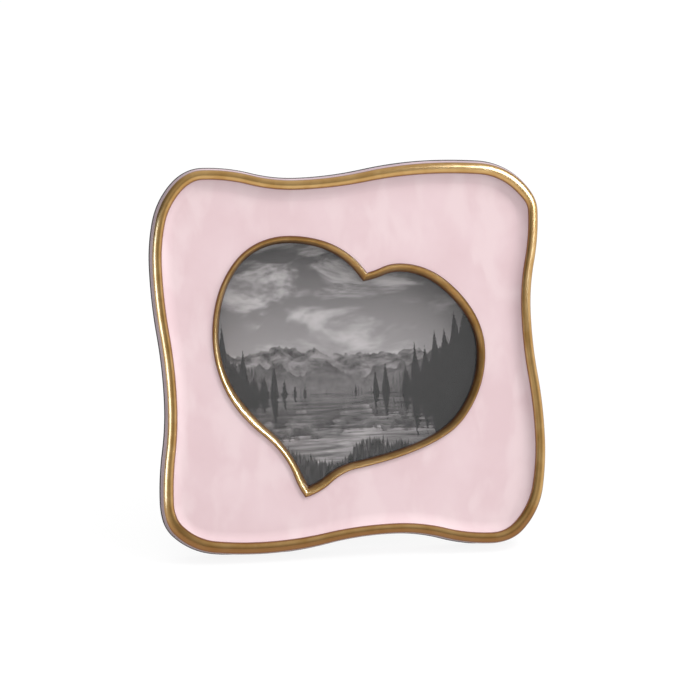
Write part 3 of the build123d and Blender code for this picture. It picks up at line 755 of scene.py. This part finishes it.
# Painted shade: darker towards the corners and the edges of the window, least a little up and left of the
# middle, standing in for the heart rim's shadow and the light falling off; and the grain of the film, drawn
# at 0.3 mm so that it shows
far_out = node(tree, "VectorMath", [laid, (-0.08, 0.08, 0.0)], operation="DISTANCE")
shade = node(tree, "MapRange", {"Value": far_out, "From Min": 0.2, "From Max": 0.72, "To Min": 0.86,
                                "To Max": 0.4}, interpolation_type="SMOOTHSTEP")
where = node(tree, "TexCoord").outputs["Object"]
grain = node(tree, "TexNoise", {"Vector": where, "Scale": 1000 / 0.3, "Detail": 2.0})
grain = node(tree, "MapRange", {"Value": grain, "To Min": 0.94, "To Max": 1.06})
shade = node(tree, "Math", [shade, grain], operation="MULTIPLY")
view = node(tree, "Mix", {"Factor": 1.0, "A": view, "B": shade}, data_type="RGBA", blend_type="MULTIPLY")
hard = node(tree, "Gamma", {"Color": view, "Gamma": 1.3})
sheet = node(tree, "BsdfPrincipled", {"Base Color": hard, "Roughness": 0.45, "Specular IOR Level": 0.25})
node(tree, "OutputMaterial", {"Surface": sheet})
fit(photo_print, silver, "frame", "photo_print")


# Filler card: grey board cut square, which presses the print against the glass and is held
# by the door behind it
CARD = 103.4


def grained_material(name, sizes_mm, grain, tones, span, finish, cloud=None, shade=None, rough=None,
                     bump=None, on_uv=False):
    """A material in two tones with a grain: a noise of so many mm along each axis, with its settings.
    The grain mixes the tones over a span of its values. Where there is a broader cloud, the cloud
    does so, and the grain shades what it gives. The grain may set the roughness and a bump too."""
    made = bpy.data.materials.new(name)
    tree = blank_tree(made)
    where = node(tree, "UVMap", uv_map="UVMap") if on_uv else node(tree, "TexCoord").outputs["Object"]
    fine = node(tree, "Mapping", {"Vector": where, "Scale": [1000 / size for size in sizes_mm]})
    fine = node(tree, "TexNoise", {"Vector": fine, "Scale": 1.0, **grain})
    broad = node(tree, "TexNoise", {"Vector": where, **cloud}) if cloud else fine
    mix = node(tree, "MapRange", {"Value": broad, **span})
    tone = node(tree, "Mix", {"Factor": mix, "A": paint(tones[0]), "B": paint(tones[1])}, data_type="RGBA")
    surface = dict(finish)
    if shade:
        tips = node(tree, "MapRange", {"Value": fine, **shade})
        tone = node(tree, "Mix", {"Factor": 1.0, "A": tone, "B": tips}, data_type="RGBA",
                    blend_type="MULTIPLY")
    if rough:
        surface["Roughness"] = node(tree, "MapRange", {"Value": fine, **rough})
    if bump:
        surface["Normal"] = node(tree, "Bump", {"Height": fine, **bump})
    surface = node(tree, "BsdfPrincipled", {"Base Color": tone, **surface})
    node(tree, "OutputMaterial", {"Surface": surface})
    return made


# Recycled grey board: matt, with pale and dark flecks of fibre
grey = grained_material(
    "grey_board", (0.8, 0.8, 0.8), {"Detail": 4.0}, tones=("#8B867F", "#A8A39B"),
    span={"From Min": 0.35, "From Max": 0.65}, finish={"Roughness": 0.9})
card = lift(square_plate(CARD, ROUNDED, BOARD_FRONT, PRINT_BACK, bevel=0.1))
filler_card = skin("grey_filler_card", card, "caps")
fit(filler_card, grey, "frame", "filler_card")


# Back board: black fibreboard cut to the frame's outline with a square opening, screwed to the
# casting. Its edge is the dark line behind the side wall, and the frame stands on it.
# The edge of the board, from its front to its eased back: distance out from the crest, and level
BOARD_EDGE = [(WALL_OUT, BOARD_FRONT), (2.93, 0.5), (3.0, 0.25), (2.93, 0.06), (2.75, 0.0)]
rim_at = along(outline, *rim_laid, 0.0)
hole = square_facing(rim_at, POCKET)
rings = np.stack([rim_ring(out, w) for out, w in BOARD_EDGE] + [lift(hole, w) for w in (0.0, BOARD_FRONT)])
rings[..., 2] = np.maximum(rings[..., 2], 0.0)
# Stained fibreboard: black and matt, with short brown fibres where the saw has cut it
fibre = grained_material(
    "black_fibreboard", (1.6, 0.35, 1.6), {"Detail": 5.0}, tones=("#2B2829", "#4A4340"),
    span={"From Min": 0.45, "From Max": 0.75}, bump={"Strength": 0.3, "Distance": 0.0001},
    finish={"Roughness": 0.75})
fit(skin("fibre_back_board", rings, "joined"), fibre, "frame", "back_board")


# Velvet of the back board: black cotton velvet glued on in one piece, cut a little inside the
# board's edge and round the opening
VELVET, VELVET_OUT = 0.5, 2.0
# The cut edge of velvet, from the board to the top of the pile: distance in from the cut, and level
PILE_EDGE = [(0.0, 0.0), (0.0, -0.3), (0.12, -0.44), (0.35, -VELVET)]
outer = [rim_ring(VELVET_OUT - inset, w) for inset, w in PILE_EDGE]
inner = [lift(square_facing(rim_at, POCKET + 2 * inset), w) for inset, w in PILE_EDGE[::-1]]
board_velvet = skin("velvet_on_board", np.stack(outer + inner), "joined", crease=80)
# Cotton velvet: a short dense pile that is nearly black from the front and lifts to grey where
# light grazes it, brushed in soft patches by hand. The pile is drawn at 0.45 mm so that it shows.
velvet = grained_material(
    "black_cotton_velvet", (0.45, 0.45, 0.45), {"Detail": 3.0, "Roughness": 0.6},
    cloud={"Scale": 1000 / 16.0, "Detail": 3.0, "Distortion": 0.6}, tones=("#1B191C", "#2F2C31"),
    span={"From Min": 0.38, "From Max": 0.62}, bump={"Strength": 0.7, "Distance": 0.0003},
    shade={"From Min": 0.4, "From Max": 0.7, "To Min": 0.75, "To Max": 1.35},
    finish={"Roughness": 0.95, "Specular IOR Level": 0.15, "Sheen Weight": 0.35, "Sheen Roughness": 0.4,
            "Sheen Tint": paint("#B4B0BA")})
fit(board_velvet, velvet, "frame", "board_velvet")


# Door: a square of the same fibreboard that drops into the opening, with its own piece of velvet
# glued on. The turn buttons keep it in, and the easel hinge is riveted to it.
DOOR = 103.6
door_panel = skin("fibre_door", lift(square_plate(DOOR, ROUNDED, 0.0, BOARD_FRONT, bevel=0.15)), "caps")
fit(door_panel, fibre, "frame", "door_panel")
rings = np.stack([lift(square(DOOR - 2 * inset, ROUNDED), w) for inset, w in PILE_EDGE])
door_velvet = skin("velvet_on_door", rings, "caps", crease=80)
fit(door_velvet, velvet, "frame", "door_velvet")


# Turn buttons: four tabs stamped from brass strip, round at the screw and tapering to a finger
# tip, with a pressed ridge along the top. Each turns on its screw to let the door out.
BUTTON_U, BUTTON_TOP_V, BUTTON_LOW_V = 58.5, 24.0, -32.0
BUTTON_REACH, BUTTON_ROOT, BUTTON_TIP, BUTTON_THICK = 13.0, 4.0, 2.6, 1.2
SCREW_R, BORE_ROOM, RUN_GAP = 1.5, 0.05, 0.03
BUTTON_UNDER = -VELVET - RUN_GAP
# Where the top is pressed down and how deep, and the ridge that is left along the middle of it
PRESS_FROM, PRESS_EASE, PRESS_DEEP = 3.2, 1.0, 0.28
RIDGE_FROM, RIDGE_TO, RIDGE_EASE, RIDGE_HALF = 4.0, 13.5, 2.0, 0.9
TAB_STEPS = 240


def tab_reach(angle):
    """How far the edge of a tab lies from its screw at an angle: a circle round the screw, a circle
    at the tip, and the straight lines that touch both."""
    off = np.abs(wrapped(angle))
    touch = np.arccos((BUTTON_ROOT - BUTTON_TIP) / BUTTON_REACH)
    tip = np.arctan2(BUTTON_TIP * np.sin(touch), BUTTON_REACH + BUTTON_TIP * np.cos(touch))
    drop = np.minimum(BUTTON_REACH * np.sin(off), BUTTON_TIP)
    round_tip = BUTTON_REACH * np.cos(off) + np.sqrt(BUTTON_TIP**2 - drop**2)
    straight = BUTTON_ROOT / np.cos(np.minimum(touch - off, 1.5))
    return np.where(off < tip, round_tip, np.where(off < touch, straight, BUTTON_ROOT))


def tab_shape():
    """A tab about its screw, as x, y and height: rings at shares of the way from the bore to the
    edge, rounded over at the edge. Away from the screw the top is pressed down, less a ridge along
    the middle whose section is a bell curve."""
    share = np.array([0.0, 0.0, 0.25, 0.5, 0.75, 0.90, 0.97, 1.0, 1.0])[:, None]
    below = np.array([BUTTON_THICK, 0.0, 0.0, 0.0, 0.0, 0.0, 0.1, 0.3, BUTTON_THICK])[:, None]
    angle = np.linspace(-np.pi, np.pi, TAB_STEPS, endpoint=False)
    bore = SCREW_R + BORE_ROOM
    far = bore + (tab_reach(angle) - bore) * share
    x, y = far * np.cos(angle), far * np.sin(angle)
    ridge = PRESS_DEEP * np.exp(-(y / RIDGE_HALF) ** 2)
    ridge *= np.clip((x - RIDGE_FROM) / RIDGE_EASE, 0, 1) * np.clip((RIDGE_TO - x) / RIDGE_EASE, 0, 1)
    pressed = np.where((share > 0.05) & (share < 0.95), PRESS_DEEP - ridge, 0.0)
    return x, y, BUTTON_THICK - below - pressed * np.clip((x - PRESS_FROM) / PRESS_EASE, 0, 1)


# Stamped brass, lacquered: yellow metal with fine rolling lines, a little dull and darker in spots
brass = grained_material(
    "stamped_brass", (5.0, 0.25, 0.25), {"Detail": 3.0}, cloud={"Scale": 1000 / 3.0, "Detail": 4.0},
    tones=("#CBA65C", "#B9924C"), span={"From Min": 0.35, "From Max": 0.75},
    shade={"From Min": 0.3, "From Max": 0.7, "To Min": 0.80, "To Max": 1.08},
    rough={"From Min": 0.3, "From Max": 0.7, "To Min": 0.2, "To Max": 0.38},
    bump={"Strength": 0.35, "Distance": 0.00005}, finish={"Metallic": 1.0})
BUTTONS = {"top_left": (-BUTTON_U, BUTTON_TOP_V), "top_right": (BUTTON_U, BUTTON_TOP_V),
           "low_left": (-BUTTON_U, BUTTON_LOW_V), "low_right": (BUTTON_U, BUTTON_LOW_V)}
x, y, height = tab_shape()
for name, (u, v) in BUTTONS.items():
    button = "turn_button_" + name
    facing = 1 if u < 0 else -1
    rings = stand(u + facing * x, v + facing * y, BUTTON_UNDER - height)
    fit(skin(button + "_tab", rings, "joined", crease=40), brass, button, button)


# Button screws: slotted cheese-head screws of plated steel, through the tab and the board into
# the casting, left just loose enough for the tab to turn
HEAD_R, HEAD_TALL, SLOT_HALF, SLOT_DEEP, SCREW_END = 2.8, 1.4, 0.4, 0.6, 7.5
HEAD_DOME, HEAD_EDGE, HEAD_SLOPE = 0.12, 0.4, 0.9
SCREW_SEAT = BUTTON_UNDER - BUTTON_THICK - RUN_GAP
# Columns so close to both sides of an edge that it stays sharp, and the turn of each screw's slot
SHARP = 1e-3
SLANTS = np.radians([12, -20, 35, 5])


def screw_shape():
    """A screw about its axis, as x, y and height over its seat: columns across the slot, each a loop
    over the top of the head and back round its underside and the shank. The chord at x is
    sqrt(R^2 - x^2). The top is domed by a share of (r/R)^2, sloped at the edge and sunk in the slot."""
    half = np.concatenate([[SLOT_HALF - SHARP, SLOT_HALF + SHARP], np.linspace(0.5, SCREW_R - SHARP, 8),
                           np.linspace(SCREW_R + SHARP, HEAD_R - 0.01, 14)])
    x = np.concatenate([-half[::-1], half])[:, None]
    chord = np.sqrt(HEAD_R**2 - x**2)
    stem = np.sqrt(np.maximum(SCREW_R**2 - x**2, 0.0))
    long = np.where(np.abs(x) < SCREW_R, SCREW_END - SCREW_SEAT, 0.0)
    y = chord * np.linspace(-1, 1, 41)
    r = np.hypot(x, y)
    top = HEAD_TALL - HEAD_DOME * (r / HEAD_R) ** 2 - np.maximum(r - HEAD_R + HEAD_EDGE, 0.0) * HEAD_SLOPE
    top = np.where(np.abs(x) < SLOT_HALF, HEAD_TALL - SLOT_DEEP, top)
    seat = np.zeros_like(chord)
    y = np.concatenate([y, chord, stem, stem, -stem, -stem, -chord], axis=1)
    height = np.concatenate([top, seat, seat, -long, -long, seat, seat], axis=1)
    return x + 0 * y, y, height


# Nickel plated steel: a cool bright metal, turned, with fine scratches from the driver
steel = grained_material(
    "nickel_plated_steel", (0.4, 0.4, 0.4), {"Detail": 4.0, "Distortion": 2.0}, tones=("#A9A7A2", "#C9C6BF"),
    span={"From Min": 0.35, "From Max": 0.65}, rough={"To Min": 0.2, "To Max": 0.45},
    finish={"Metallic": 1.0})
x, y, height = screw_shape()
for (name, (u, v)), slant in zip(BUTTONS.items(), SLANTS):
    turn_x = x * np.cos(slant) - y * np.sin(slant)
    turn_y = x * np.sin(slant) + y * np.cos(slant)
    screw = skin("screw_" + name, stand(u + turn_x, v + turn_y, SCREW_SEAT - height), "caps", crease=30)
    fit(screw, steel, "frame", "turn_button_screws")


# Easel hinge on the door: a leaf of brass strip with a tongue that is rolled round the pin,
# fixed by two domed rivets
LEAF_THICK, LEAF_LONG, LEAF_CLEAR, KNUCKLE_MID, KNUCKLE_END = 0.8, 13.0, 2.4, 5.0, 13.0
LEAF_CORNER, LEAF_BEVEL = 1.6, 0.14
LEAF_MIDDLE = -VELVET - LEAF_THICK / 2
# Radius of the roll's middle line and its turn, the bevel of a tongue's ends across and in thickness,
# the share by which it is thinner within the leaf, and the run over which it gets so
CURL, ROLL_DEGREES = 1.375, 290
TONGUE_BEVEL, TONGUE_EASE, TONGUE_THIN, THIN_RUN = 0.15, 0.12, 0.15, 0.4
TONGUE_LONG, TONGUE_BEND = 6.0, 3.0
RIVET_R, RIVET_HEAD, RIVET_TALL, RIVET_DEEP, RIVET_V, RIVET_DOOR_U = 1.1, 2.0, 0.7, 2.8, 8.0, 8.0
RIVET_TIP, DOME_POWER = 0.02, 0.8


def leaf_plate(low, high, middle):
    """The flat of a leaf between two places up the face, about a middle level: a bevelled rectangle
    with round corners."""
    def drawn(inset):
        drawn_box = round_box(KNUCKLE_END - inset, (high - low) / 2 - inset, LEAF_CORNER - inset, steps=7)
        return drawn_box + [0.0, (low + high) / 2]
    return bevelled(drawn, middle - LEAF_THICK / 2, middle + LEAF_THICK / 2, LEAF_BEVEL)


def sideways(line):
    """Unit vectors square to a line of points: its step (a, b) turned to (-b, a)."""
    step = np.gradient(line, axis=0)
    return np.stack([-step[:, 1], step[:, 0]], -1) / np.linalg.norm(step, axis=1)[:, None]


def rolled_tongue(run, start, left, right):
    """A strip of leaf that is carried across from left to right: its middle line, in v and w, is a
    run along the leaf and then a circle round the pin from a starting angle. The line is doubled half
    a thickness to each side, a little less where it lies within the leaf, and its ends are eased in
    by a small bevel."""
    turn = np.radians(start + np.linspace(0, ROLL_DEGREES, 40))
    line = np.concatenate([run, [PIN_V, PIN_W] + CURL * unit(turn)])
    across = np.array([left, left + TONGUE_BEVEL, right - TONGUE_BEVEL, right])
    thick = LEAF_THICK / 2 - np.array([TONGUE_EASE, 0.0, 0.0, TONGUE_EASE])[:, None, None]
    within = np.clip((np.abs(line[:, :1] - PIN_V) - LEAF_CLEAR) / THIN_RUN, 0, 1)
    side = sideways(line) * thick * (1 - TONGUE_THIN * within)
    loop = np.concatenate([line + side, (line - side)[:, ::-1]], axis=1)
    u = np.broadcast_to(across[:, None, None], loop.shape[:2] + (1,))
    return np.concatenate([u, loop], axis=-1)


def turned(u, v, radii, levels, steps=48):
    """A turned shape on an axis along w: each radius of its profile carried round at its level."""
    angle = np.linspace(0, 2 * np.pi, steps, endpoint=False)
    radii, levels = np.array(radii)[:, None], np.array(levels)[:, None]
    return np.stack(np.broadcast_arrays(u + radii * np.cos(angle), v + radii * np.sin(angle), levels), -1)


# The profile of a rivet: its shank, and a head domed over it
dome = np.linspace(0, np.pi / 2, 10)[:-1]
rivet_r = np.concatenate([[RIVET_R, RIVET_R], RIVET_HEAD * np.cos(dome), [RIVET_TIP]])
rivet_h = np.concatenate([[-RIVET_DEEP, 0.0], RIVET_TALL * np.sin(dome) ** DOME_POWER, [RIVET_TALL]])


def make_leaf(end, strips, middle, rivet_u, rivet_v, place, body):
    """The pieces of one leaf: its strips, and two rivets whose heads sit on its outer face. The
    placing function carries their shapes from the face to the row frame."""
    for part, shape in strips.items():
        strip = skin(f"hinge_leaf_{end}_{part}", place(shape), "caps", crease=30)
        fit(strip, brass, body, "hinge_leaf_" + end)
    for side, u in (("left", -rivet_u), ("right", rivet_u)):
        shape = turned(u, rivet_v, rivet_r, middle - LEAF_THICK / 2 - rivet_h)
        rivet = skin(f"hinge_rivet_{end}_{side}", place(shape), "caps")
        fit(rivet, brass, body, "hinge_rivets_" + end)


v_run = np.linspace(PIN_V + TONGUE_LONG, PIN_V, 14)[:-1]
bend = np.clip((PIN_V + TONGUE_BEND - v_run) / TONGUE_BEND, 0, 1)
w_run = LEAF_MIDDLE + (PIN_W + CURL - LEAF_MIDDLE) * bend**2 * (3 - 2 * bend)
strips = {"plate": leaf_plate(PIN_V + LEAF_CLEAR, PIN_V + LEAF_LONG, LEAF_MIDDLE),
          "knuckle": rolled_tongue(np.stack([v_run, w_run], -1), 90, -KNUCKLE_MID, KNUCKLE_MID)}
make_leaf("door", strips, LEAF_MIDDLE, RIVET_DOOR_U, PIN_V + RIVET_V, lift, "frame")


# Hinge pin: plated steel wire through the three knuckles of the hinge, with its two ends
# swaged into small heads that keep it in
# Radius and half length of the wire, length of a head, and the head's radius and its tip's as so
# many times the wire's
PIN_R, PIN_END, PIN_CAP, PIN_HEAD, PIN_TIP = 0.9, 13.7, 0.5, 1.4, 1.1
HEAD_EASE, NECK = 0.15, 0.1
half = np.array([PIN_END, PIN_END - HEAD_EASE, PIN_END - PIN_CAP + NECK, PIN_END - PIN_CAP])
across = np.append(-half, half[::-1])[:, None]
thick = PIN_R * np.array([PIN_TIP, PIN_HEAD, PIN_HEAD, 1.0, 1.0, PIN_HEAD, PIN_HEAD, PIN_TIP])[:, None]
angle = np.linspace(0, 2 * np.pi, 32, endpoint=False)
rings = stand(across, PIN_V + thick * np.cos(angle), PIN_W + thick * np.sin(angle))
fit(skin("hinge_pin_wire", rings, "caps"), steel, "frame", "hinge_pin")


# Easel strut: a tapering leg of fibreboard in a velvet sleeve, with a bare foot that is cut level
# with the table when the strut is open
OPEN = np.radians(28.0)
STRUT_HEAD, STRUT_LONG, STRUT_TOP, STRUT_LOW = 31.2, 102.2, 12.5, 23.0
STRUT_MIDDLE, STRUT_CORE, STRUT_SKIN, STRUT_BARE = -2.5, 1.6, 0.4, 3.0
STRUT_FOOT = STRUT_HEAD - STRUT_LONG
CORE_CORNER, SLEEVE_CORNER, SLEEVE_ROOM, SLEEVE_STEPS = 0.15, 0.55, 0.02, 12
CORE_SHORT, CORE_EASE, FOOT_FROM = 0.3, 0.2, 1.0
# The rounded top of the sleeve: distance above the strut's head, and how far it is grown there
SLEEVE_TOP = [(0.25, 0.3), (0.4, 0.0)]


def swing(at):
    """Row-frame points of the folded strut turned open about the hinge pin."""
    dv, dw = at[..., 1] - PIN_V, at[..., 2] - PIN_W
    v = PIN_V + dv * np.cos(OPEN) - dw * np.sin(OPEN)
    w = PIN_W + dv * np.sin(OPEN) + dw * np.cos(OPEN)
    return stand(at[..., 0], v, w)


def strut_loop(v, grown, half_thick, corner):
    """Sections of the strut across its length at places v: a rectangle with round corners, as wide
    each side as the taper there, top + (low - top) times the share of the length, grown by a skin."""
    v = np.asarray(v)
    half = STRUT_TOP + (STRUT_LOW - STRUT_TOP) * (STRUT_HEAD - v) / STRUT_LONG + grown
    box = np.stack([round_box(wide, half_thick, corner, steps=7) for wide in half])
    return np.stack(np.broadcast_arrays(box[..., 0], v[:, None], STRUT_MIDDLE + box[..., 1]), -1)


# The leg ends just under the top of the sleeve, and its last section drops to the table
core_top = STRUT_HEAD - CORE_SHORT
core_v = [core_top, core_top - CORE_EASE, STRUT_FOOT + FOOT_FROM, STRUT_FOOT]
core = strut_loop(core_v, 0.0, STRUT_CORE / 2, CORE_CORNER)
core[-1, :, 1] -= swing(core)[-1, :, 2] * 1000 / np.cos(OPEN - LEAN)
fit(skin("strut_leg", swing(core), "caps", crease=30), fibre, "strut", "easel_strut")
# The sleeve: its outside, rounded over the top, and its lining
covered = np.linspace(STRUT_FOOT + STRUT_BARE, STRUT_HEAD, SLEEVE_STEPS)
above, grown = np.transpose(SLEEVE_TOP)
skins = np.append(np.full(SLEEVE_STEPS, STRUT_SKIN), grown)
outer = strut_loop(np.append(covered, STRUT_HEAD + above), skins, STRUT_CORE / 2 + STRUT_SKIN, SLEEVE_CORNER)
inner = strut_loop(covered[::-1], SLEEVE_ROOM, STRUT_CORE / 2 + SLEEVE_ROOM, CORE_CORNER)
strut_velvet = skin("strut_sleeve", swing(np.concatenate([inner, outer])), "caps", crease=80)
fit(strut_velvet, velvet, "strut", "strut_velvet")


# Moving leaf of the hinge: the same strip, rolled at both sides round the pin and riveted to the
# outside of the strut
FAR_MIDDLE = PIN_W - CURL
KNUCKLE_GAP, FAR_TONGUE_LONG, RIVET_STRUT_U = 0.2, 5.0, 7.0
v_run = np.linspace(PIN_V - FAR_TONGUE_LONG, PIN_V, 8)[:-1]
run = np.stack([v_run, np.full(len(v_run), FAR_MIDDLE)], -1)
strips = {"plate": leaf_plate(PIN_V - LEAF_LONG, PIN_V - LEAF_CLEAR, FAR_MIDDLE),
          "left": rolled_tongue(run, -90, -KNUCKLE_END, -KNUCKLE_MID - KNUCKLE_GAP),
          "right": rolled_tongue(run, -90, KNUCKLE_MID + KNUCKLE_GAP, KNUCKLE_END)}
make_leaf("strut", strips, FAR_MIDDLE, RIVET_STRUT_U, PIN_V - RIVET_V, swing, "strut")


# Ribbon stay: black satin ribbon from the door to the strut, which stops the strut when it is
# open. Its ends lie flat on the velvet and are held by eyelets.
STAY_DOOR, STAY_STRUT, STAY_TAB, STAY_WIDE, STAY_THICK = 70.0, 80.0, 9.0, 10.0, 0.3
STAY_CLEAR, STAY_STEPS, BEND_STEPS = 0.03, 220, 5
# Selvedge: its width, and half the thickness of the ribbon there and between
SELVEDGE, EDGE_HALF, WEB_HALF = 0.8, 0.11, 0.08
# A share of the free run: a point this far before its start is worked out but not used
BLEND_EARLY = 0.08
STRUT_INNER = STRUT_MIDDLE + STRUT_CORE / 2 + STRUT_SKIN
door_line, strut_line = -VELVET - STAY_THICK / 2, STRUT_INNER + STAY_THICK / 2 + STAY_CLEAR
ends = np.array([[0.0, PIN_V - STAY_STRUT, strut_line], [0.0, PIN_V - STAY_STRUT + STAY_TAB, strut_line]])
opened = swing(ends) * 1000 - FACE_ORIGIN
knots = np.array([(PIN_V - STAY_DOOR + STAY_TAB, door_line), (PIN_V - STAY_DOOR, door_line),
                  *np.stack([opened @ UP_FACE, opened @ OUT_FACE], -1)])
run = np.append(0.0, np.cumsum(np.linalg.norm(np.diff(knots, axis=0), axis=1)))
at = np.linspace(0, run[-1], STAY_STEPS + 1)


def softened(values):
    """Values along the ribbon averaged under a bell-shaped window, so that its bends are round."""
    window = np.hanning(2 * BEND_STEPS + 3)[1:-1]
    longer = np.pad(values, BEND_STEPS, "reflect", reflect_type="odd")
    return np.convolve(longer, window / window.sum(), "valid")


soft = np.stack([softened(np.interp(at, run, knots[:, i])) for i in (0, 1)], -1)
side = sideways(soft)
half = STAY_WIDE / 2
inset = half - SELVEDGE
edge_u = np.array([-half, -half, -inset, inset, half, half, inset, -inset])
edge_t = np.array([-EDGE_HALF, EDGE_HALF, WEB_HALF, WEB_HALF, EDGE_HALF, -EDGE_HALF, -WEB_HALF, -WEB_HALF])
v = soft[:, 0, None] + side[:, 0, None] * edge_t
w = soft[:, 1, None] + side[:, 1, None] * edge_t
ribbon_stay = skin("satin_stay", stand(edge_u, v, w), "caps", crease=80, uv=lambda line, step: np.stack(
    [edge_u[step % len(edge_u)], at[line]], -1) / 1000)
# Satin ribbon: fine polyester threads across a close warp, which give a smooth shine that breaks
# into faint bars. The weft is drawn at 0.45 mm so that it shows.
satin = grained_material(
    "black_satin_ribbon", (6.0, 0.45, 6.0), {"Detail": 2.0}, on_uv=True, tones=("#1C1A1D", "#302D31"),
    span={"From Min": 0.3, "From Max": 0.7}, rough={"To Min": 0.3, "To Max": 0.5},
    bump={"Strength": 0.4, "Distance": 0.00008},
    finish={"Sheen Weight": 0.3, "Sheen Roughness": 0.3, "Anisotropic": 0.5})
ribbon_stay.data.materials.append(satin)
early = knots[1] * (1 + BLEND_EARLY) - knots[2] * BLEND_EARLY
tuple(stand(0.0, *early))
tuple(stand(0.0, *knots[2]))
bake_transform(ribbon_stay)
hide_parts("ribbon_stay")


# Ribbon eyelets: small brass rings, flanged over the ribbon and set through it into the door
# and the strut
EYELET_IN, EYELET_R, EYELET_BORE, EYELET_FLANGE, EYELET_TALL, EYELET_DEEP = 4.5, 1.5, 1.1, 2.4, 0.2, 1.5
# The profile of an eyelet: a half-round flange, and a barrel down through the ribbon
lip = np.linspace(0, np.pi, 13)
eye_r = np.append((EYELET_FLANGE + EYELET_BORE) / 2 + (EYELET_FLANGE - EYELET_BORE) / 2 * np.cos(lip),
                  [EYELET_BORE, EYELET_R, EYELET_R])
eye_h = np.append(EYELET_TALL * np.sin(lip), [-EYELET_DEEP, -EYELET_DEEP, 0.0])
door_top, strut_top = -VELVET - STAY_THICK, STRUT_INNER + STAY_THICK + 2 * STAY_CLEAR
door_rings = turned(0.0, PIN_V - STAY_DOOR + EYELET_IN, eye_r, door_top - eye_h)
strut_rings = turned(0.0, PIN_V - STAY_STRUT + EYELET_IN, eye_r, strut_top + eye_h)
for end, rings, body in (("door", lift(door_rings), "frame"), ("strut", swing(strut_rings), "strut")):
    eyelet = skin("stay_eyelet_" + end, rings, "joined")
    fit(eyelet, brass, body, "ribbon_eyelet_" + end)
